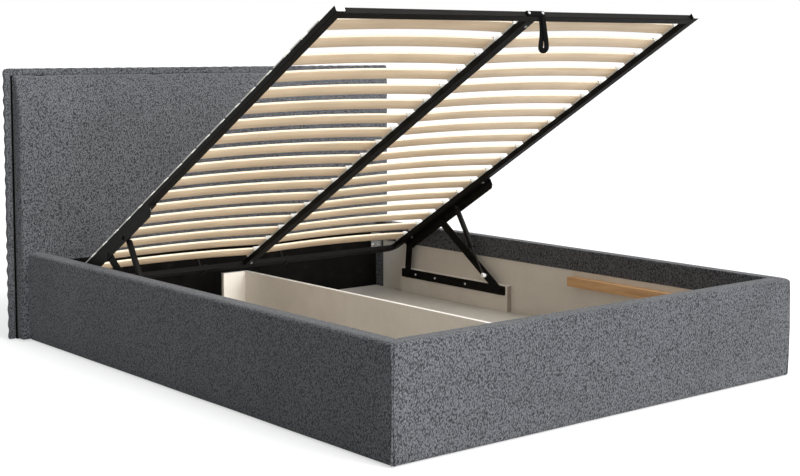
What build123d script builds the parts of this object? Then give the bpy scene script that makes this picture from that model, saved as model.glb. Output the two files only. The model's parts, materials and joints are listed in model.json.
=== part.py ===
"""Upholstered storage bed, 160 x 200 class, with its slatted base standing open on two gas struts.

Every length is in millimetres. Solids are built with y = 0 at the foot panel's outer face and y running
towards the headboard, x to the right and z up, and are moved as they are written so that the origin is the
middle of the bounding box's bottom. The slatted base is built flat in a frame of its own, u from its head end
towards its foot end and v up, and is then tilted into the open position.
"""
from build123d import *
import math
import os

# Overall sizes
CARCASS_WIDTH = 1742.0
CARCASS_LENGTH = 2201.0
CARCASS_HEIGHT = 338.0
HEADBOARD_WIDTH = 1850.0
HEADBOARD_HEIGHT = 1038.0
PAD_DEPTH = 52.0
BACK_COVER = 5.0
BOARD = 18.0
GLIDE_HEIGHT = 4.0
GLIDE_DIAMETER = 30.0

# Padded covers of the rails and the foot panel
COVER = 37.0
COVER_CROWN = 7.0
COVER_EDGE = 20.0
COVER_INNER_EDGE = 8.0
TOP_PAD = 10.0
WRAP = 2.0
TURN_IN = 83.0
HEAD_STRIP = 55.0
SEAM_GAP = 0.6

# Headboard
FLANGE = 28.0
FLANGE_THICKNESS = 14.0
FLANGE_SET_BACK = 1.0
FLANGE_CORNER = 12.0
PAD_EDGE = 24.0

# Storage box
FLOOR_TOP = 43.0
FLOOR_BOARD = 5.0
LEDGER_WIDTH = 20.0
DIVIDER = 16.0
DIVIDER_TOP = 207.0
DIVIDER_FROM_HEAD = 166.0
END_PLATE_WIDTH = 104.0
LINER = 4.0
LINER_TOP = 300.0
SPACER_TOP = 149.5
SPACER_BEYOND_BAR = 12.0
BATTEN = 35.0
BATTEN_LENGTH = 911.0
BATTEN_TOP = 232.0

# Corner brackets and their fixings
BRACKET = 2.0
BRACKET_LEAF = 42.0
BRACKET_SIDE_LEAF = 29.0
BRACKET_HEIGHT = 74.0
HEAD_BRACKET_BOTTOM = 210.0
FOOT_BRACKET_BOTTOM = 94.0
BRACKET_HOLE = 7.0
SCREW_HEAD = 10.0
SCREW_HEAD_HEIGHT = 3.0
SCREW = 5.0
SCREW_LENGTH = 14.0
SCREW_PLAY = 0.25

# Slatted base: tubes
FRAME_WIDTH = 1580.0
FRAME_LENGTH = 1963.0
TUBE_HEIGHT = 20.0
TUBE_WIDTH = 30.0
TUBE_WALL = 1.5
TUBE_CORNER = 2.5
TUBE_BEND = 30.0
FOOT_TUBE_SET_IN = 12.0
CENTRE_TUBE_WIDTH = 40.0
CAP_THICKNESS = 3.0
CAP_PLUG = 15.0
TONGUE = 3.0
TONGUE_LENGTH = 45.0
TONGUE_BOLT = 25.0

# Slatted base: slats and their holders
SLATS = 18
FIRST_SLAT = 105.0
LAST_SLAT_INSET = 120.6
SLAT_WIDTH = 58.0
SLAT_THICKNESS = 8.0
SLAT_RISE = 9.0
SLAT_SEAT = 5.0
SLAT_INNER_END = 6.0
SLAT_OUTER_MARGIN = 20.0
HOLDER_LENGTH = 64.0
HOLDER_ROOF = 3.0
HOLDER_WIDTH = 33.0
CENTRE_HOLDER_WIDTH = 46.0
HOLDER_LIP = 4.0
HOLDER_SLOPE = 18.0

# Mattress stops on the head tube
STOP_PLACE = 200.0
STOP_ROD = 8.0
STOP_HEIGHT = 110.0
STOP_CLIP = 3.0
STOP_CLIP_WIDTH = 20.0

# Pull strap on the foot tube
STRAP_PLACE = 31.0
STRAP_LEAN = 7.0
STRAP_PLATE_WIDTH = 76.0
STRAP_PLATE = 2.0
STRAP_PLATE_HEIGHT = 17.0
STRAP_SCREW_PLACE = 30.0
WEBBING = 3.0
STRAP_TOP_WIDTH = 28.0
STRAP_WIDTH = 40.0
STRAP_LENGTH = 136.0
STRAP_END = 18.0
STRAP_SLOT = 8.0
STRAP_SLOT_LENGTH = 72.0
STRAP_HEM = 22.0
SOFT_GAP = 0.3

# The open position of the slatted base
TILT = 30.7
HEAD_END_FROM_HEAD = 166.5
HEAD_END_Z = 217.0

# Lifting mechanism: pivots on the bed, on the slatted base (u and drop below it) and on the front link
PIVOT_Z = 129.0
REAR_PIVOT_FROM_HEAD = 262.0
PIVOT_SPAN = 583.0
REAR_ARM_U = 110.0
FRONT_ARM_U = 359.1
ARM_PIVOT_DROP = 25.0
STRUT_ARM_U = 492.0
STRUT_ARM_DROP = 20.0
STRUT_ALONG_LINK = 92.0

# Lifting mechanism: bars
PLATE = 4.0
PLATE_GAP = 1.0
LINK_WIDTH = 36.0
BAR_HEIGHT = 37.0
BAR_CORNER = 6.0
BAR_REAR_OVERHANG = 44.0
BAR_FRONT_OVERHANG = 31.0
BAR_SCREW_PLACES = (209.0, 403.0, 532.0)
ARM = 3.0
ARM_DEPTH = 40.0
ARM_START = 88.0
ARM_END = 718.0
ARM_CORNER = 12.0
ARM_BOLT_INSET = 15.0
ARM_BOLT_PLACES = (70.0, 600.0)
RIVET = 10.0
RIVET_HEAD = 16.0
RIVET_HEAD_HEIGHT = 3.4
RUNNING = 0.05
FACE_GAP = 0.1

# Lifting mechanism: gas strut
STRUT_FROM_LINK = 14.0
CYLINDER = 18.0
CYLINDER_WALL = 1.5
CYLINDER_LENGTH = 172.0
CYLINDER_START = 14.0
CYLINDER_GLAND = 10.0
CYLINDER_BASE = 6.0
ROD = 8.0
ROD_LENGTH = 190.0
PISTON_LENGTH = 8.0
SOCKET = 16.0
SOCKET_NECK = 10.0
BALL = 10.0
BALL_NECK = 6.0
BALL_NECK_HOLE = 8.0
BALL_COLLAR = 14.0
BALL_COLLAR_HEIGHT = 4.0
STUD_NUT = 13.0
STUD_NUT_HEIGHT = 5.0
STUD_GAP = 0.5
BOLT = 6.0
BOLT_HEAD = 10.0
BOLT_HEAD_HEIGHT = 4.0
BOLT_LENGTH = 12.0
HEX_SIDE_COUNT = 6

OVERRUN = 5.0
GLIDE_SHARES = (0.06, 0.5, 0.94)
HEADBOARD_GLIDE_SHARES = (-0.45, 0.0, 0.45)
BRACKET_HOLE_SHARES = (0.22, 0.5, 0.78)
BRACKET_SCREW_SHARES = (0.22, 0.78)

# Places worked out from the sizes
DIVIDER_END = CARCASS_LENGTH - DIVIDER_FROM_HEAD
HEAD_END_Y = CARCASS_LENGTH - HEAD_END_FROM_HEAD
REAR_PIVOT_Y = CARCASS_LENGTH - REAR_PIVOT_FROM_HEAD
FRONT_PIVOT_Y = REAR_PIVOT_Y - PIVOT_SPAN
SLAT_PITCH = (FRAME_LENGTH - FIRST_SLAT - LAST_SLAT_INSET) / (SLATS - 1)
HALF_WIDTH = CARCASS_WIDTH / 2
BOARD_OUTER = HALF_WIDTH - COVER
BOARD_INNER = BOARD_OUTER - BOARD
BOARD_TOP = CARCASS_HEIGHT - TOP_PAD
BOARD_BOTTOM = GLIDE_HEIGHT + WRAP
FOOT_INNER = COVER + BOARD
WRAP_BOTTOM = CARCASS_HEIGHT - TURN_IN
CORE_FRONT = CARCASS_LENGTH + PAD_DEPTH
CORE_BACK = CORE_FRONT + BOARD
TOTAL_LENGTH = CORE_BACK + BACK_COVER
CORE_HALF = HEADBOARD_WIDTH / 2 - FLANGE
CORE_TOP = HEADBOARD_HEIGHT - FLANGE
LINER_FRONT = CARCASS_LENGTH - LINER
FRAME_HALF = FRAME_WIDTH / 2
TUBE_CENTRE = FRAME_HALF - TUBE_WIDTH / 2
BAR_OUTER = FRAME_HALF + PLATE
LINK_OUTER = FRAME_HALF - PLATE_GAP
LINK_INNER = LINK_OUTER - PLATE
STRUT_X = LINK_INNER - STRUT_FROM_LINK
SOCKET_FACE = STRUT_X + SOCKET / 2
FOOT_TUBE_OUTER = FRAME_LENGTH - FOOT_TUBE_SET_IN
FOOT_TUBE_INNER = FOOT_TUBE_OUTER - TUBE_WIDTH
HOLDER_TOP = TUBE_HEIGHT + SLAT_SEAT + SLAT_THICKNESS + HOLDER_ROOF
OPEN = Pos(0, HEAD_END_Y, HEAD_END_Z) * Rot(-TILT, 0, 0)


def block(x, y, z):
    """A box between the low and high values of x, y and z."""
    size = (x[1] - x[0], y[1] - y[0], z[1] - z[0])
    middle = (sum(x) / 2, sum(y) / 2, sum(z) / 2)
    return Pos(*middle) * Box(*size)


def mirrored(shape):
    """The left-hand copy of a right-hand piece."""
    return mirror(shape, about=Plane.YZ)


def both(pieces):
    """A list of right-hand pieces followed by their left-hand copies."""
    return pieces + [mirrored(piece) for piece in pieces]


def group(pieces):
    """Separate solids that share one node."""
    return Compound(children=[solid for piece in pieces for solid in piece.solids()])


def peg(x, place, diameter):
    """A cylinder along x between two values of x, centred on a place (y, z)."""
    axis = Plane(origin=(x[0], place[0], place[1]), x_dir=(0, 1, 0), z_dir=(1, 0, 0))
    return extrude(axis * Circle(diameter / 2), amount=x[1] - x[0])


def dowel(x, z, y, diameter):
    """A cylinder along y between two values of y, centred on x and z."""
    axis = Plane(origin=(x, y[0], z), x_dir=(1, 0, 0), z_dir=(0, 1, 0))
    return extrude(axis * Circle(diameter / 2), amount=y[1] - y[0])


def on_base(u, v):
    """Where a point of the slatted base lies, as (y, z), while the base stands open."""
    tilt = math.radians(TILT)
    y = HEAD_END_Y - u * math.cos(tilt) + v * math.sin(tilt)
    z = HEAD_END_Z + u * math.sin(tilt) + v * math.cos(tilt)
    return (y, z)


REAR_PIVOT = (REAR_PIVOT_Y, PIVOT_Z)
FRONT_PIVOT = (FRONT_PIVOT_Y, PIVOT_Z)
REAR_ARM = on_base(REAR_ARM_U, -ARM_PIVOT_DROP)
FRONT_ARM = on_base(FRONT_ARM_U, -ARM_PIVOT_DROP)
STRUT_TOP = on_base(STRUT_ARM_U, -STRUT_ARM_DROP)


def along(start, end, distance):
    """The place at a distance from start on the line to end, all as (y, z)."""
    share = distance / math.dist(start, end)
    return (start[0] + (end[0] - start[0]) * share, start[1] + (end[1] - start[1]) * share)


STRUT_FOOT = along(FRONT_PIVOT, FRONT_ARM, STRUT_ALONG_LINK)


# Carcass: boards and padded covers
def cover_section():
    """Section of a padded cover; its x runs inwards from the outer face and its y is the height."""
    inner = COVER + BOARD
    middle = (GLIDE_HEIGHT + CARCASS_HEIGHT) / 2
    crown = ThreePointArc((COVER_CROWN, GLIDE_HEIGHT), (0, middle), (COVER_CROWN, CARCASS_HEIGHT))
    inside = Polyline(
        (COVER_CROWN, CARCASS_HEIGHT),
        (inner + WRAP, CARCASS_HEIGHT),
        (inner + WRAP, WRAP_BOTTOM),
        (inner, WRAP_BOTTOM),
        (inner, BOARD_TOP),
        (COVER, BOARD_TOP),
        (COVER, BOARD_BOTTOM),
        (inner, BOARD_BOTTOM),
        (inner, GLIDE_HEIGHT),
        (COVER_CROWN, GLIDE_HEIGHT),
    )
    section = make_face(Wire([crown, *inside.edges()]))
    outer = [corner for corner in section.vertices() if math.isclose(corner.X, COVER_CROWN)]
    section = fillet(outer, COVER_EDGE)
    top = section.vertices().group_by(Axis.X)[-1].sort_by(Axis.Y)[-1]
    return fillet(top, COVER_INNER_EDGE)


def mitre(side):
    """The plane of the right-hand foot corner's mitre, moved half the seam towards the rail or the foot."""
    shift = side * SEAM_GAP / math.sqrt(2)
    return Plane(origin=(HALF_WIDTH, shift, 0), z_dir=(1, 1, 0))


def rail_cover(screws):
    """The right-hand rail's padded cover with its strip down the inside of the head end."""
    plane = Plane(origin=(HALF_WIDTH, 0, 0), x_dir=(-1, 0, 0), z_dir=(0, 1, 0))
    cover = extrude(plane * cover_section(), amount=CARCASS_LENGTH)
    cover = split(cover, bisect_by=mitre(1), keep=Keep.TOP)
    strip_y = (CARCASS_LENGTH - HEAD_STRIP, CARCASS_LENGTH)
    strip = block((BOARD_INNER - WRAP, BOARD_INNER), strip_y, (FLOOR_TOP, WRAP_BOTTOM))
    cover = cover + strip
    for screw in screws:
        cover = cover - screw
    return cover


def foot_cover():
    """The foot panel's padded cover, mitred at both corners."""
    plane = Plane(origin=(-HALF_WIDTH, 0, 0), x_dir=(0, 1, 0), z_dir=(1, 0, 0))
    cover = extrude(plane * cover_section(), amount=CARCASS_WIDTH)
    cover = split(cover, bisect_by=mitre(-1), keep=Keep.BOTTOM)
    cover = mirrored(cover)
    return split(cover, bisect_by=mitre(-1), keep=Keep.BOTTOM)


def rail_board(screws):
    """The right-hand rail's board, drilled for the screws in its inner face."""
    board = block((BOARD_INNER, BOARD_OUTER), (FOOT_INNER, CARCASS_LENGTH), (BOARD_BOTTOM, BOARD_TOP))
    for screw in screws:
        board = board - screw
    return board


def foot_board(screws):
    board = block((-BOARD_OUTER, BOARD_OUTER), (COVER, FOOT_INNER), (BOARD_BOTTOM, BOARD_TOP))
    for screw in screws:
        board = board - screw
    return board


# Headboard: core board, pad, flange round three sides and back cover
def headboard_slab(y, top_edge_radius, bolts):
    slab = block((-CORE_HALF, CORE_HALF), y, (GLIDE_HEIGHT, CORE_TOP))
    if top_edge_radius:
        front = slab.faces().sort_by(Axis.Y)[0]
        edges = [edge for edge in front.edges() if edge.center().Z > GLIDE_HEIGHT + OVERRUN]
        slab = fillet(edges, top_edge_radius)
    for bolt in bolts:
        slab = slab - bolt
    return slab


def headboard_flange():
    """The flat double fabric edge that stands out from both sides and the top."""
    front = CORE_FRONT + FLANGE_SET_BACK
    y = (front, front + FLANGE_THICKNESS)
    half = HEADBOARD_WIDTH / 2
    outer = block((-half, half), y, (GLIDE_HEIGHT, HEADBOARD_HEIGHT))
    top = outer.edges().filter_by(Axis.Y).group_by(Axis.Z)[-1]
    outer = fillet(top, FLANGE_CORNER)
    core_z = (GLIDE_HEIGHT - OVERRUN, CORE_TOP)
    core = block((-CORE_HALF, CORE_HALF), (y[0] - OVERRUN, y[1] + OVERRUN), core_z)
    return outer - core


# Storage box
def divider():
    return block((-DIVIDER / 2, DIVIDER / 2), (FOOT_INNER, DIVIDER_END), (GLIDE_HEIGHT, DIVIDER_TOP))


def end_plate():
    """The short plate that stands square to the divider at its head end, on the left."""
    x = (-DIVIDER / 2 - END_PLATE_WIDTH, -DIVIDER / 2)
    return block(x, (DIVIDER_END - DIVIDER, DIVIDER_END), (FLOOR_TOP, DIVIDER_TOP))


def floor_board():
    """The right-hand floor board, notched round its half of the divider."""
    board = block((0, BOARD_INNER), (FOOT_INNER, CARCASS_LENGTH), (FLOOR_TOP - FLOOR_BOARD, FLOOR_TOP))
    return board - divider()


def floor_ledgers():
    """Battens under the floor: along each rail, along the divider and across the ends."""
    z = (GLIDE_HEIGHT, FLOOR_TOP - FLOOR_BOARD)
    y = (FOOT_INNER, LINER_FRONT)
    side = block((BOARD_INNER - LEDGER_WIDTH, BOARD_INNER), y, z)
    middle = block((DIVIDER / 2, DIVIDER / 2 + LEDGER_WIDTH), (FOOT_INNER, DIVIDER_END), z)
    cross_x = (DIVIDER / 2 + LEDGER_WIDTH, BOARD_INNER - LEDGER_WIDTH)
    foot = block(cross_x, (FOOT_INNER, FOOT_INNER + LEDGER_WIDTH), z)
    head = block(cross_x, (LINER_FRONT - LEDGER_WIDTH, LINER_FRONT), z)
    return group(both([side, middle, foot, head]))


def head_liner(bolts):
    """The black cloth-covered board across the head end of the storage box."""
    half = BOARD_INNER - WRAP
    liner = block((-half, half), (LINER_FRONT, CARCASS_LENGTH), (FLOOR_TOP, LINER_TOP))
    for bolt in bolts:
        liner = liner - bolt
    return liner


def spacer_board(screws):
    """The board on the right-hand rail that carries the lifting mechanism."""
    bar = bar_span()
    y = (bar[0] - SPACER_BEYOND_BAR, bar[1] + SPACER_BEYOND_BAR)
    board = block((BAR_OUTER, BOARD_INNER), y, (FLOOR_TOP, SPACER_TOP))
    for screw in screws:
        board = board - screw
    return board


def batten():
    """The square batten on the right-hand rail that the closed base rests on."""
    y = (FOOT_INNER, FOOT_INNER + BATTEN_LENGTH)
    return block((BOARD_INNER - BATTEN, BOARD_INNER), y, (BATTEN_TOP - BATTEN, BATTEN_TOP))


def glides():
    """Round felt glides under the boards."""
    rail_x = (BOARD_INNER + BOARD_OUTER) / 2
    places = []
    for share in GLIDE_SHARES:
        y = CARCASS_LENGTH * share
        places += [(rail_x, y), (-rail_x, y)]
    for share in GLIDE_SHARES:
        places.append((0, FOOT_INNER + (DIVIDER_END - FOOT_INNER) * share))
    for share in HEADBOARD_GLIDE_SHARES:
        places.append((HEADBOARD_WIDTH * share, CORE_BACK - GLIDE_DIAMETER / 2))
    discs = []
    for x, y in places:
        discs.append(Pos(x, y, GLIDE_HEIGHT / 2) * Cylinder(GLIDE_DIAMETER / 2, GLIDE_HEIGHT))
    return group(discs)


# Corner brackets: a holed leaf on the rail and a holed leaf on the end, with their screws and bolts
def bracket(corner, away, bottom):
    """A right-hand angle bracket in the corner (x, y); away is 1 or -1, the side of y that it opens to."""
    x, y = corner
    z = (bottom, bottom + BRACKET_HEIGHT)
    side = block((x - BRACKET, x), tuple(sorted((y, y + away * BRACKET_LEAF))), z)
    end = block((x - BRACKET_SIDE_LEAF, x), tuple(sorted((y, y + away * BRACKET))), z)
    angle = side + end
    for share in BRACKET_HOLE_SHARES:
        hole_z = bottom + BRACKET_HEIGHT * share
        side_hole = (y + away * (BRACKET + (BRACKET_LEAF - BRACKET) / 2), hole_z)
        angle = angle - peg((x - BRACKET - OVERRUN, x + OVERRUN), side_hole, BRACKET_HOLE)
        through = tuple(sorted((y - away * OVERRUN, y + away * (BRACKET + OVERRUN))))
        angle = angle - dowel(x - BRACKET_SIDE_LEAF / 2, hole_z, through, BRACKET_HOLE)
    return angle


def bracket_screws(corner, away, bottom, rail_length, end_length, play=0):
    """Screws through both leaves of a bracket: a list into the rail and a list into the end.

    With play they are the cutters for the screws' holes in the boards.
    """
    x, y = corner
    shank_size = SCREW + 2 * play
    rail, end = [], []
    for share in BRACKET_SCREW_SHARES:
        z = bottom + BRACKET_HEIGHT * share
        place = (y + away * (BRACKET + (BRACKET_LEAF - BRACKET) / 2), z)
        head = peg((x - BRACKET - SCREW_HEAD_HEIGHT, x - BRACKET), place, SCREW_HEAD)
        rail.append(head + peg((x - BRACKET, x - BRACKET + rail_length + play), place, shank_size))
        face = y + away * BRACKET
        end_x = x - BRACKET_SIDE_LEAF / 2
        head = dowel(end_x, z, tuple(sorted((face, face + away * SCREW_HEAD_HEIGHT))), SCREW_HEAD)
        shank = dowel(end_x, z, tuple(sorted((face, face - away * (end_length + play)))), shank_size)
        end.append(head + shank)
    return rail, end


# Lifting mechanism
def bar_span():
    """Low and high y of the base bar."""
    return (FRONT_PIVOT_Y - BAR_FRONT_OVERHANG, REAR_PIVOT_Y + BAR_REAR_OVERHANG)


def base_bar(holes):
    """The right-hand base bar, screwed to the spacer board."""
    bar = block((FRAME_HALF, BAR_OUTER), bar_span(), (PIVOT_Z - BAR_HEIGHT / 2, PIVOT_Z + BAR_HEIGHT / 2))
    bar = fillet(bar.edges().filter_by(Axis.X), BAR_CORNER)
    for hole in holes:
        bar = bar - hole
    return bar


def base_screws(play=0):
    """Round-headed screws that hold the right-hand base bar, or with play the cutters for their holes."""
    screws = []
    for place in BAR_SCREW_PLACES:
        at = (FRONT_PIVOT_Y + place, PIVOT_Z)
        head = peg((FRAME_HALF - SCREW_HEAD_HEIGHT, FRAME_HALF), at, SCREW_HEAD)
        head = chamfer(head.edges().group_by(Axis.X)[0], SCREW_HEAD_HEIGHT / 3)
        screws.append(head + peg((FRAME_HALF, FRAME_HALF + SCREW_LENGTH + play), at, SCREW + 2 * play))
    return screws


def pivot_rivet(place, carrier):
    """A rivet that turns in a link and is fixed in the plate outside it, which has this thickness."""
    head = peg((LINK_INNER - FACE_GAP - RIVET_HEAD_HEIGHT, LINK_INNER - FACE_GAP), place, RIVET_HEAD)
    head = chamfer(head.edges().group_by(Axis.X)[0], RIVET_HEAD_HEIGHT / 3)
    shank = peg((LINK_INNER - FACE_GAP, FRAME_HALF + carrier), place, RIVET)
    collar = peg((LINK_OUTER + FACE_GAP, FRAME_HALF), place, RIVET_HEAD)
    return head + shank + collar


def link(start, end, holes):
    """A flat link with round ends between two places (y, z), drilled at each (place, diameter)."""
    length = math.dist(start, end)
    direction = (0, end[0] - start[0], end[1] - start[1])
    plane = Plane(origin=(LINK_INNER, start[0], start[1]), x_dir=direction, z_dir=(1, 0, 0))
    outline = Pos(length / 2, 0) * SlotCenterToCenter(length, LINK_WIDTH)
    bar = extrude(plane * outline, amount=PLATE)
    for place, diameter in holes:
        bar = bar - peg((LINK_INNER - OVERRUN, LINK_OUTER + OVERRUN), place, diameter)
    return bar


def rear_link():
    turning = RIVET + 2 * RUNNING
    return link(REAR_PIVOT, REAR_ARM, [(REAR_PIVOT, RIVET), (REAR_ARM, turning)])


def front_link():
    turning = RIVET + 2 * RUNNING
    return link(FRONT_PIVOT, FRONT_ARM, [(FRONT_PIVOT, turning), (FRONT_ARM, turning), (STRUT_FOOT, BOLT)])


def rear_link_rivet():
    """The link's half of the rivet at its lower end, which the base bar carries the other half of."""
    head = peg((LINK_INNER - RIVET_HEAD_HEIGHT, LINK_INNER), REAR_PIVOT, RIVET_HEAD)
    head = chamfer(head.edges().group_by(Axis.X)[0], RIVET_HEAD_HEIGHT / 3)
    return head + peg((LINK_INNER, LINK_OUTER), REAR_PIVOT, RIVET)


def rear_base_rivet():
    """The base bar's half of the rivet at the rear link's lower end."""
    return peg((FRAME_HALF, BAR_OUTER), REAR_PIVOT, RIVET)


def arm_rivet(place):
    """A rivet that a link turns on, fixed in the arm, with a head outside it."""
    outer = FRAME_HALF + ARM
    return pivot_rivet(place, ARM) + peg((outer, outer + RIVET_HEAD_HEIGHT), place, RIVET_HEAD)


def link_stud():
    """The collar on the front link that carries the strut's lower ball."""
    collar = peg((SOCKET_FACE + STUD_GAP, LINK_INNER), STRUT_FOOT, BALL_COLLAR)
    return collar + peg((LINK_INNER, LINK_OUTER), STRUT_FOOT, BOLT)


def turned(outline, place):
    """A solid turned about the strut's ball at a place (y, z).

    The outline's x runs outwards and its y is the radius.
    """
    plane = Plane(origin=(STRUT_X, place[0], place[1]), x_dir=(1, 0, 0), z_dir=(0, -1, 0))
    return revolve(plane * make_face(outline), Axis(plane.origin, (1, 0, 0)))


def ball(place, reach):
    """A ball on its neck, which reaches outwards to the given x."""
    radius = BALL / 2
    neck = BALL_NECK / 2
    joint = math.sqrt(radius**2 - neck**2)
    end = reach - STRUT_X
    round_side = ThreePointArc((-radius, 0), (0, radius), (joint, neck))
    sides = Polyline((joint, neck), (end, neck), (end, 0), (-radius, 0))
    return turned(Wire([round_side, *sides.edges()]), place)


def arm_stud():
    """The ball stud on the arm at the strut's upper end, with its nut outside."""
    outer = FRAME_HALF + ARM
    collar = peg((FRAME_HALF - BALL_COLLAR_HEIGHT, FRAME_HALF), STRUT_TOP, BALL_COLLAR)
    shank = peg((FRAME_HALF, outer), STRUT_TOP, BOLT)
    plane = Plane(origin=(outer, STRUT_TOP[0], STRUT_TOP[1]), x_dir=(0, 1, 0), z_dir=(1, 0, 0))
    nut = extrude(plane * RegularPolygon(STUD_NUT / 2, HEX_SIDE_COUNT, major_radius=False), amount=STUD_NUT_HEIGHT)
    return ball(STRUT_TOP, FRAME_HALF - BALL_COLLAR_HEIGHT) + collar + shank + nut


def strut_axis(start):
    """A plane at one end of the strut whose z runs along the strut towards its other end."""
    end = STRUT_FOOT if start == STRUT_TOP else STRUT_TOP
    direction = (0, end[0] - start[0], end[1] - start[1])
    return Plane(origin=(STRUT_X, start[0], start[1]), x_dir=(1, 0, 0), z_dir=direction)


def strut_run(axis, start, end, diameter):
    """A cylinder along the strut between two distances from the plane's origin."""
    return extrude(axis * Pos(0, 0, start) * Circle(diameter / 2), amount=end - start)


def socket(place, axis):
    """A ball socket, open towards the outside for the ball's neck, with the neck that joins the strut."""
    half = SOCKET / 2
    seat = BALL / 2 + FACE_GAP
    mouth = BALL_NECK_HOLE / 2
    lip = math.sqrt(seat**2 - mouth**2)
    cavity = ThreePointArc((lip, mouth), (0, seat), (-seat, 0))
    sides = Polyline((-seat, 0), (-half, 0), (-half, half), (half, half), (half, mouth), (lip, mouth))
    body = turned(Wire([cavity, *sides.edges()]), place)
    return body + strut_run(axis, (seat + half) / 2, CYLINDER_START, SOCKET_NECK)


def strut_cylinder():
    """The strut's hollow cylinder with its gland and upper socket."""
    axis = strut_axis(STRUT_TOP)
    end = CYLINDER_START + CYLINDER_LENGTH
    tube = strut_run(axis, CYLINDER_START, end, CYLINDER)
    bore = strut_run(axis, CYLINDER_START + CYLINDER_BASE, end - CYLINDER_GLAND, CYLINDER - 2 * CYLINDER_WALL)
    gland = strut_run(axis, end - CYLINDER_GLAND - OVERRUN, end + OVERRUN, ROD + 2 * RUNNING)
    tube = tube - bore - gland
    return tube + socket(STRUT_TOP, axis)


def strut_rod():
    """The strut's rod with its piston, lower socket and the ball that sits in it."""
    axis = strut_axis(STRUT_FOOT)
    rod = strut_run(axis, CYLINDER_START, ROD_LENGTH, ROD)
    bore = CYLINDER - 2 * CYLINDER_WALL
    piston = strut_run(axis, ROD_LENGTH - PISTON_LENGTH, ROD_LENGTH, bore - 2 * RUNNING)
    held = ball(STRUT_FOOT, SOCKET_FACE)
    return group([rod + piston + socket(STRUT_FOOT, axis), held])


# Slatted base, built flat with y = -u and z = v
def base_block(x, u, v):
    return block(x, (-u[1], -u[0]), v)


def tube_section(width):
    """Hollow tube section, width by height, centred."""
    outer = RectangleRounded(width, TUBE_HEIGHT, TUBE_CORNER)
    inner = Rectangle(width - 2 * TUBE_WALL, TUBE_HEIGHT - 2 * TUBE_WALL)
    return outer - inner


def side_tube(holes):
    """The right-hand side tube, bent round at its head end."""
    start = (TUBE_CENTRE, -(FRAME_LENGTH - CAP_THICKNESS))
    bend = (TUBE_CENTRE, -(TUBE_WIDTH / 2 + TUBE_BEND))
    end = (TUBE_CENTRE - TUBE_BEND, -TUBE_WIDTH / 2)
    middle = Pos(0, 0, TUBE_HEIGHT / 2)
    run = Line(start, bend)
    turn = RadiusArc(bend, end, -TUBE_BEND)
    path = middle * Wire([run, turn])
    plane = Plane(origin=(start[0], start[1], TUBE_HEIGHT / 2), x_dir=(1, 0, 0), z_dir=(0, 1, 0))
    tube = sweep(plane * tube_section(TUBE_WIDTH), path=path)
    for hole in holes:
        tube = tube - hole
    return tube


def cross_tube(half, middle_u):
    """A straight tube across the base, centred on middle_u."""
    plane = Plane(origin=(-half, -middle_u, TUBE_HEIGHT / 2), x_dir=(0, 1, 0), z_dir=(1, 0, 0))
    return extrude(plane * tube_section(TUBE_WIDTH), amount=2 * half)


def tongue(edge, side, bolt):
    """A welded tongue that reaches from a cross tube into the centre tube; side is 1 or -1 along u."""
    half = CENTRE_TUBE_WIDTH / 2 - TUBE_WALL
    u = tuple(sorted((edge, edge + side * TONGUE_LENGTH)))
    return base_block((-half, half), u, (TUBE_WALL, TUBE_WALL + TONGUE)) - bolt


def centre_tube(bolts):
    plane = Plane(origin=(0, -FOOT_TUBE_INNER, TUBE_HEIGHT / 2), x_dir=(1, 0, 0), z_dir=(0, 1, 0))
    tube = extrude(plane * tube_section(CENTRE_TUBE_WIDTH), amount=FOOT_TUBE_INNER - TUBE_WIDTH)
    for bolt in bolts:
        tube = tube - bolt
    return tube


def end_cap():
    """The white plug in the foot end of the right-hand side tube."""
    half = TUBE_WIDTH / 2
    bore_half = half - TUBE_WALL
    end = FRAME_LENGTH - CAP_THICKNESS
    head = base_block((TUBE_CENTRE - half, TUBE_CENTRE + half), (end, FRAME_LENGTH), (0, TUBE_HEIGHT))
    head = fillet(head.edges().filter_by(Axis.Y), TUBE_CORNER)
    plug_x = (TUBE_CENTRE - bore_half, TUBE_CENTRE + bore_half)
    return head + base_block(plug_x, (end - CAP_PLUG, end), (TUBE_WALL, TUBE_HEIGHT - TUBE_WALL))


def bolt_up(x, u, top):
    """A hexagon-headed bolt pushed up from below, its head against the height top."""
    at = Pos(x, -u, top)
    head = extrude(at * RegularPolygon(BOLT_HEAD / 2, HEX_SIDE_COUNT, major_radius=False), amount=-BOLT_HEAD_HEIGHT)
    return head + extrude(at * Circle(BOLT / 2), amount=BOLT_LENGTH)


def slat():
    """One cambered slat of the right-hand column, centred on u = 0."""
    x = (SLAT_INNER_END, FRAME_HALF - SLAT_OUTER_MARGIN)
    low = TUBE_HEIGHT + SLAT_SEAT
    high = low + SLAT_THICKNESS
    middle = sum(x) / 2
    under = ThreePointArc((x[0], low), (middle, low + SLAT_RISE), (x[1], low))
    over = ThreePointArc((x[1], high), (middle, high + SLAT_RISE), (x[0], high))
    outline = Wire([under, Line((x[1], low), (x[1], high)), over, Line((x[0], high), (x[0], low))])
    plane = Plane(origin=(0, SLAT_WIDTH / 2, 0), x_dir=(1, 0, 0), z_dir=(0, -1, 0))
    return extrude(plane * make_face(outline), amount=SLAT_WIDTH)


def outer_holder():
    """The holder on the side tube that a slat's outer end sits in; its back slopes down outwards."""
    outline = Polyline(
        (FRAME_HALF - HOLDER_WIDTH, TUBE_HEIGHT),
        (FRAME_HALF, TUBE_HEIGHT),
        (FRAME_HALF, TUBE_HEIGHT + HOLDER_LIP),
        (FRAME_HALF - HOLDER_SLOPE, HOLDER_TOP),
        (FRAME_HALF - HOLDER_WIDTH, HOLDER_TOP),
        close=True,
    )
    plane = Plane(origin=(0, HOLDER_LENGTH / 2, 0), x_dir=(1, 0, 0), z_dir=(0, -1, 0))
    return extrude(plane * make_face(outline.edges()), amount=HOLDER_LENGTH) - slat()


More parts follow.
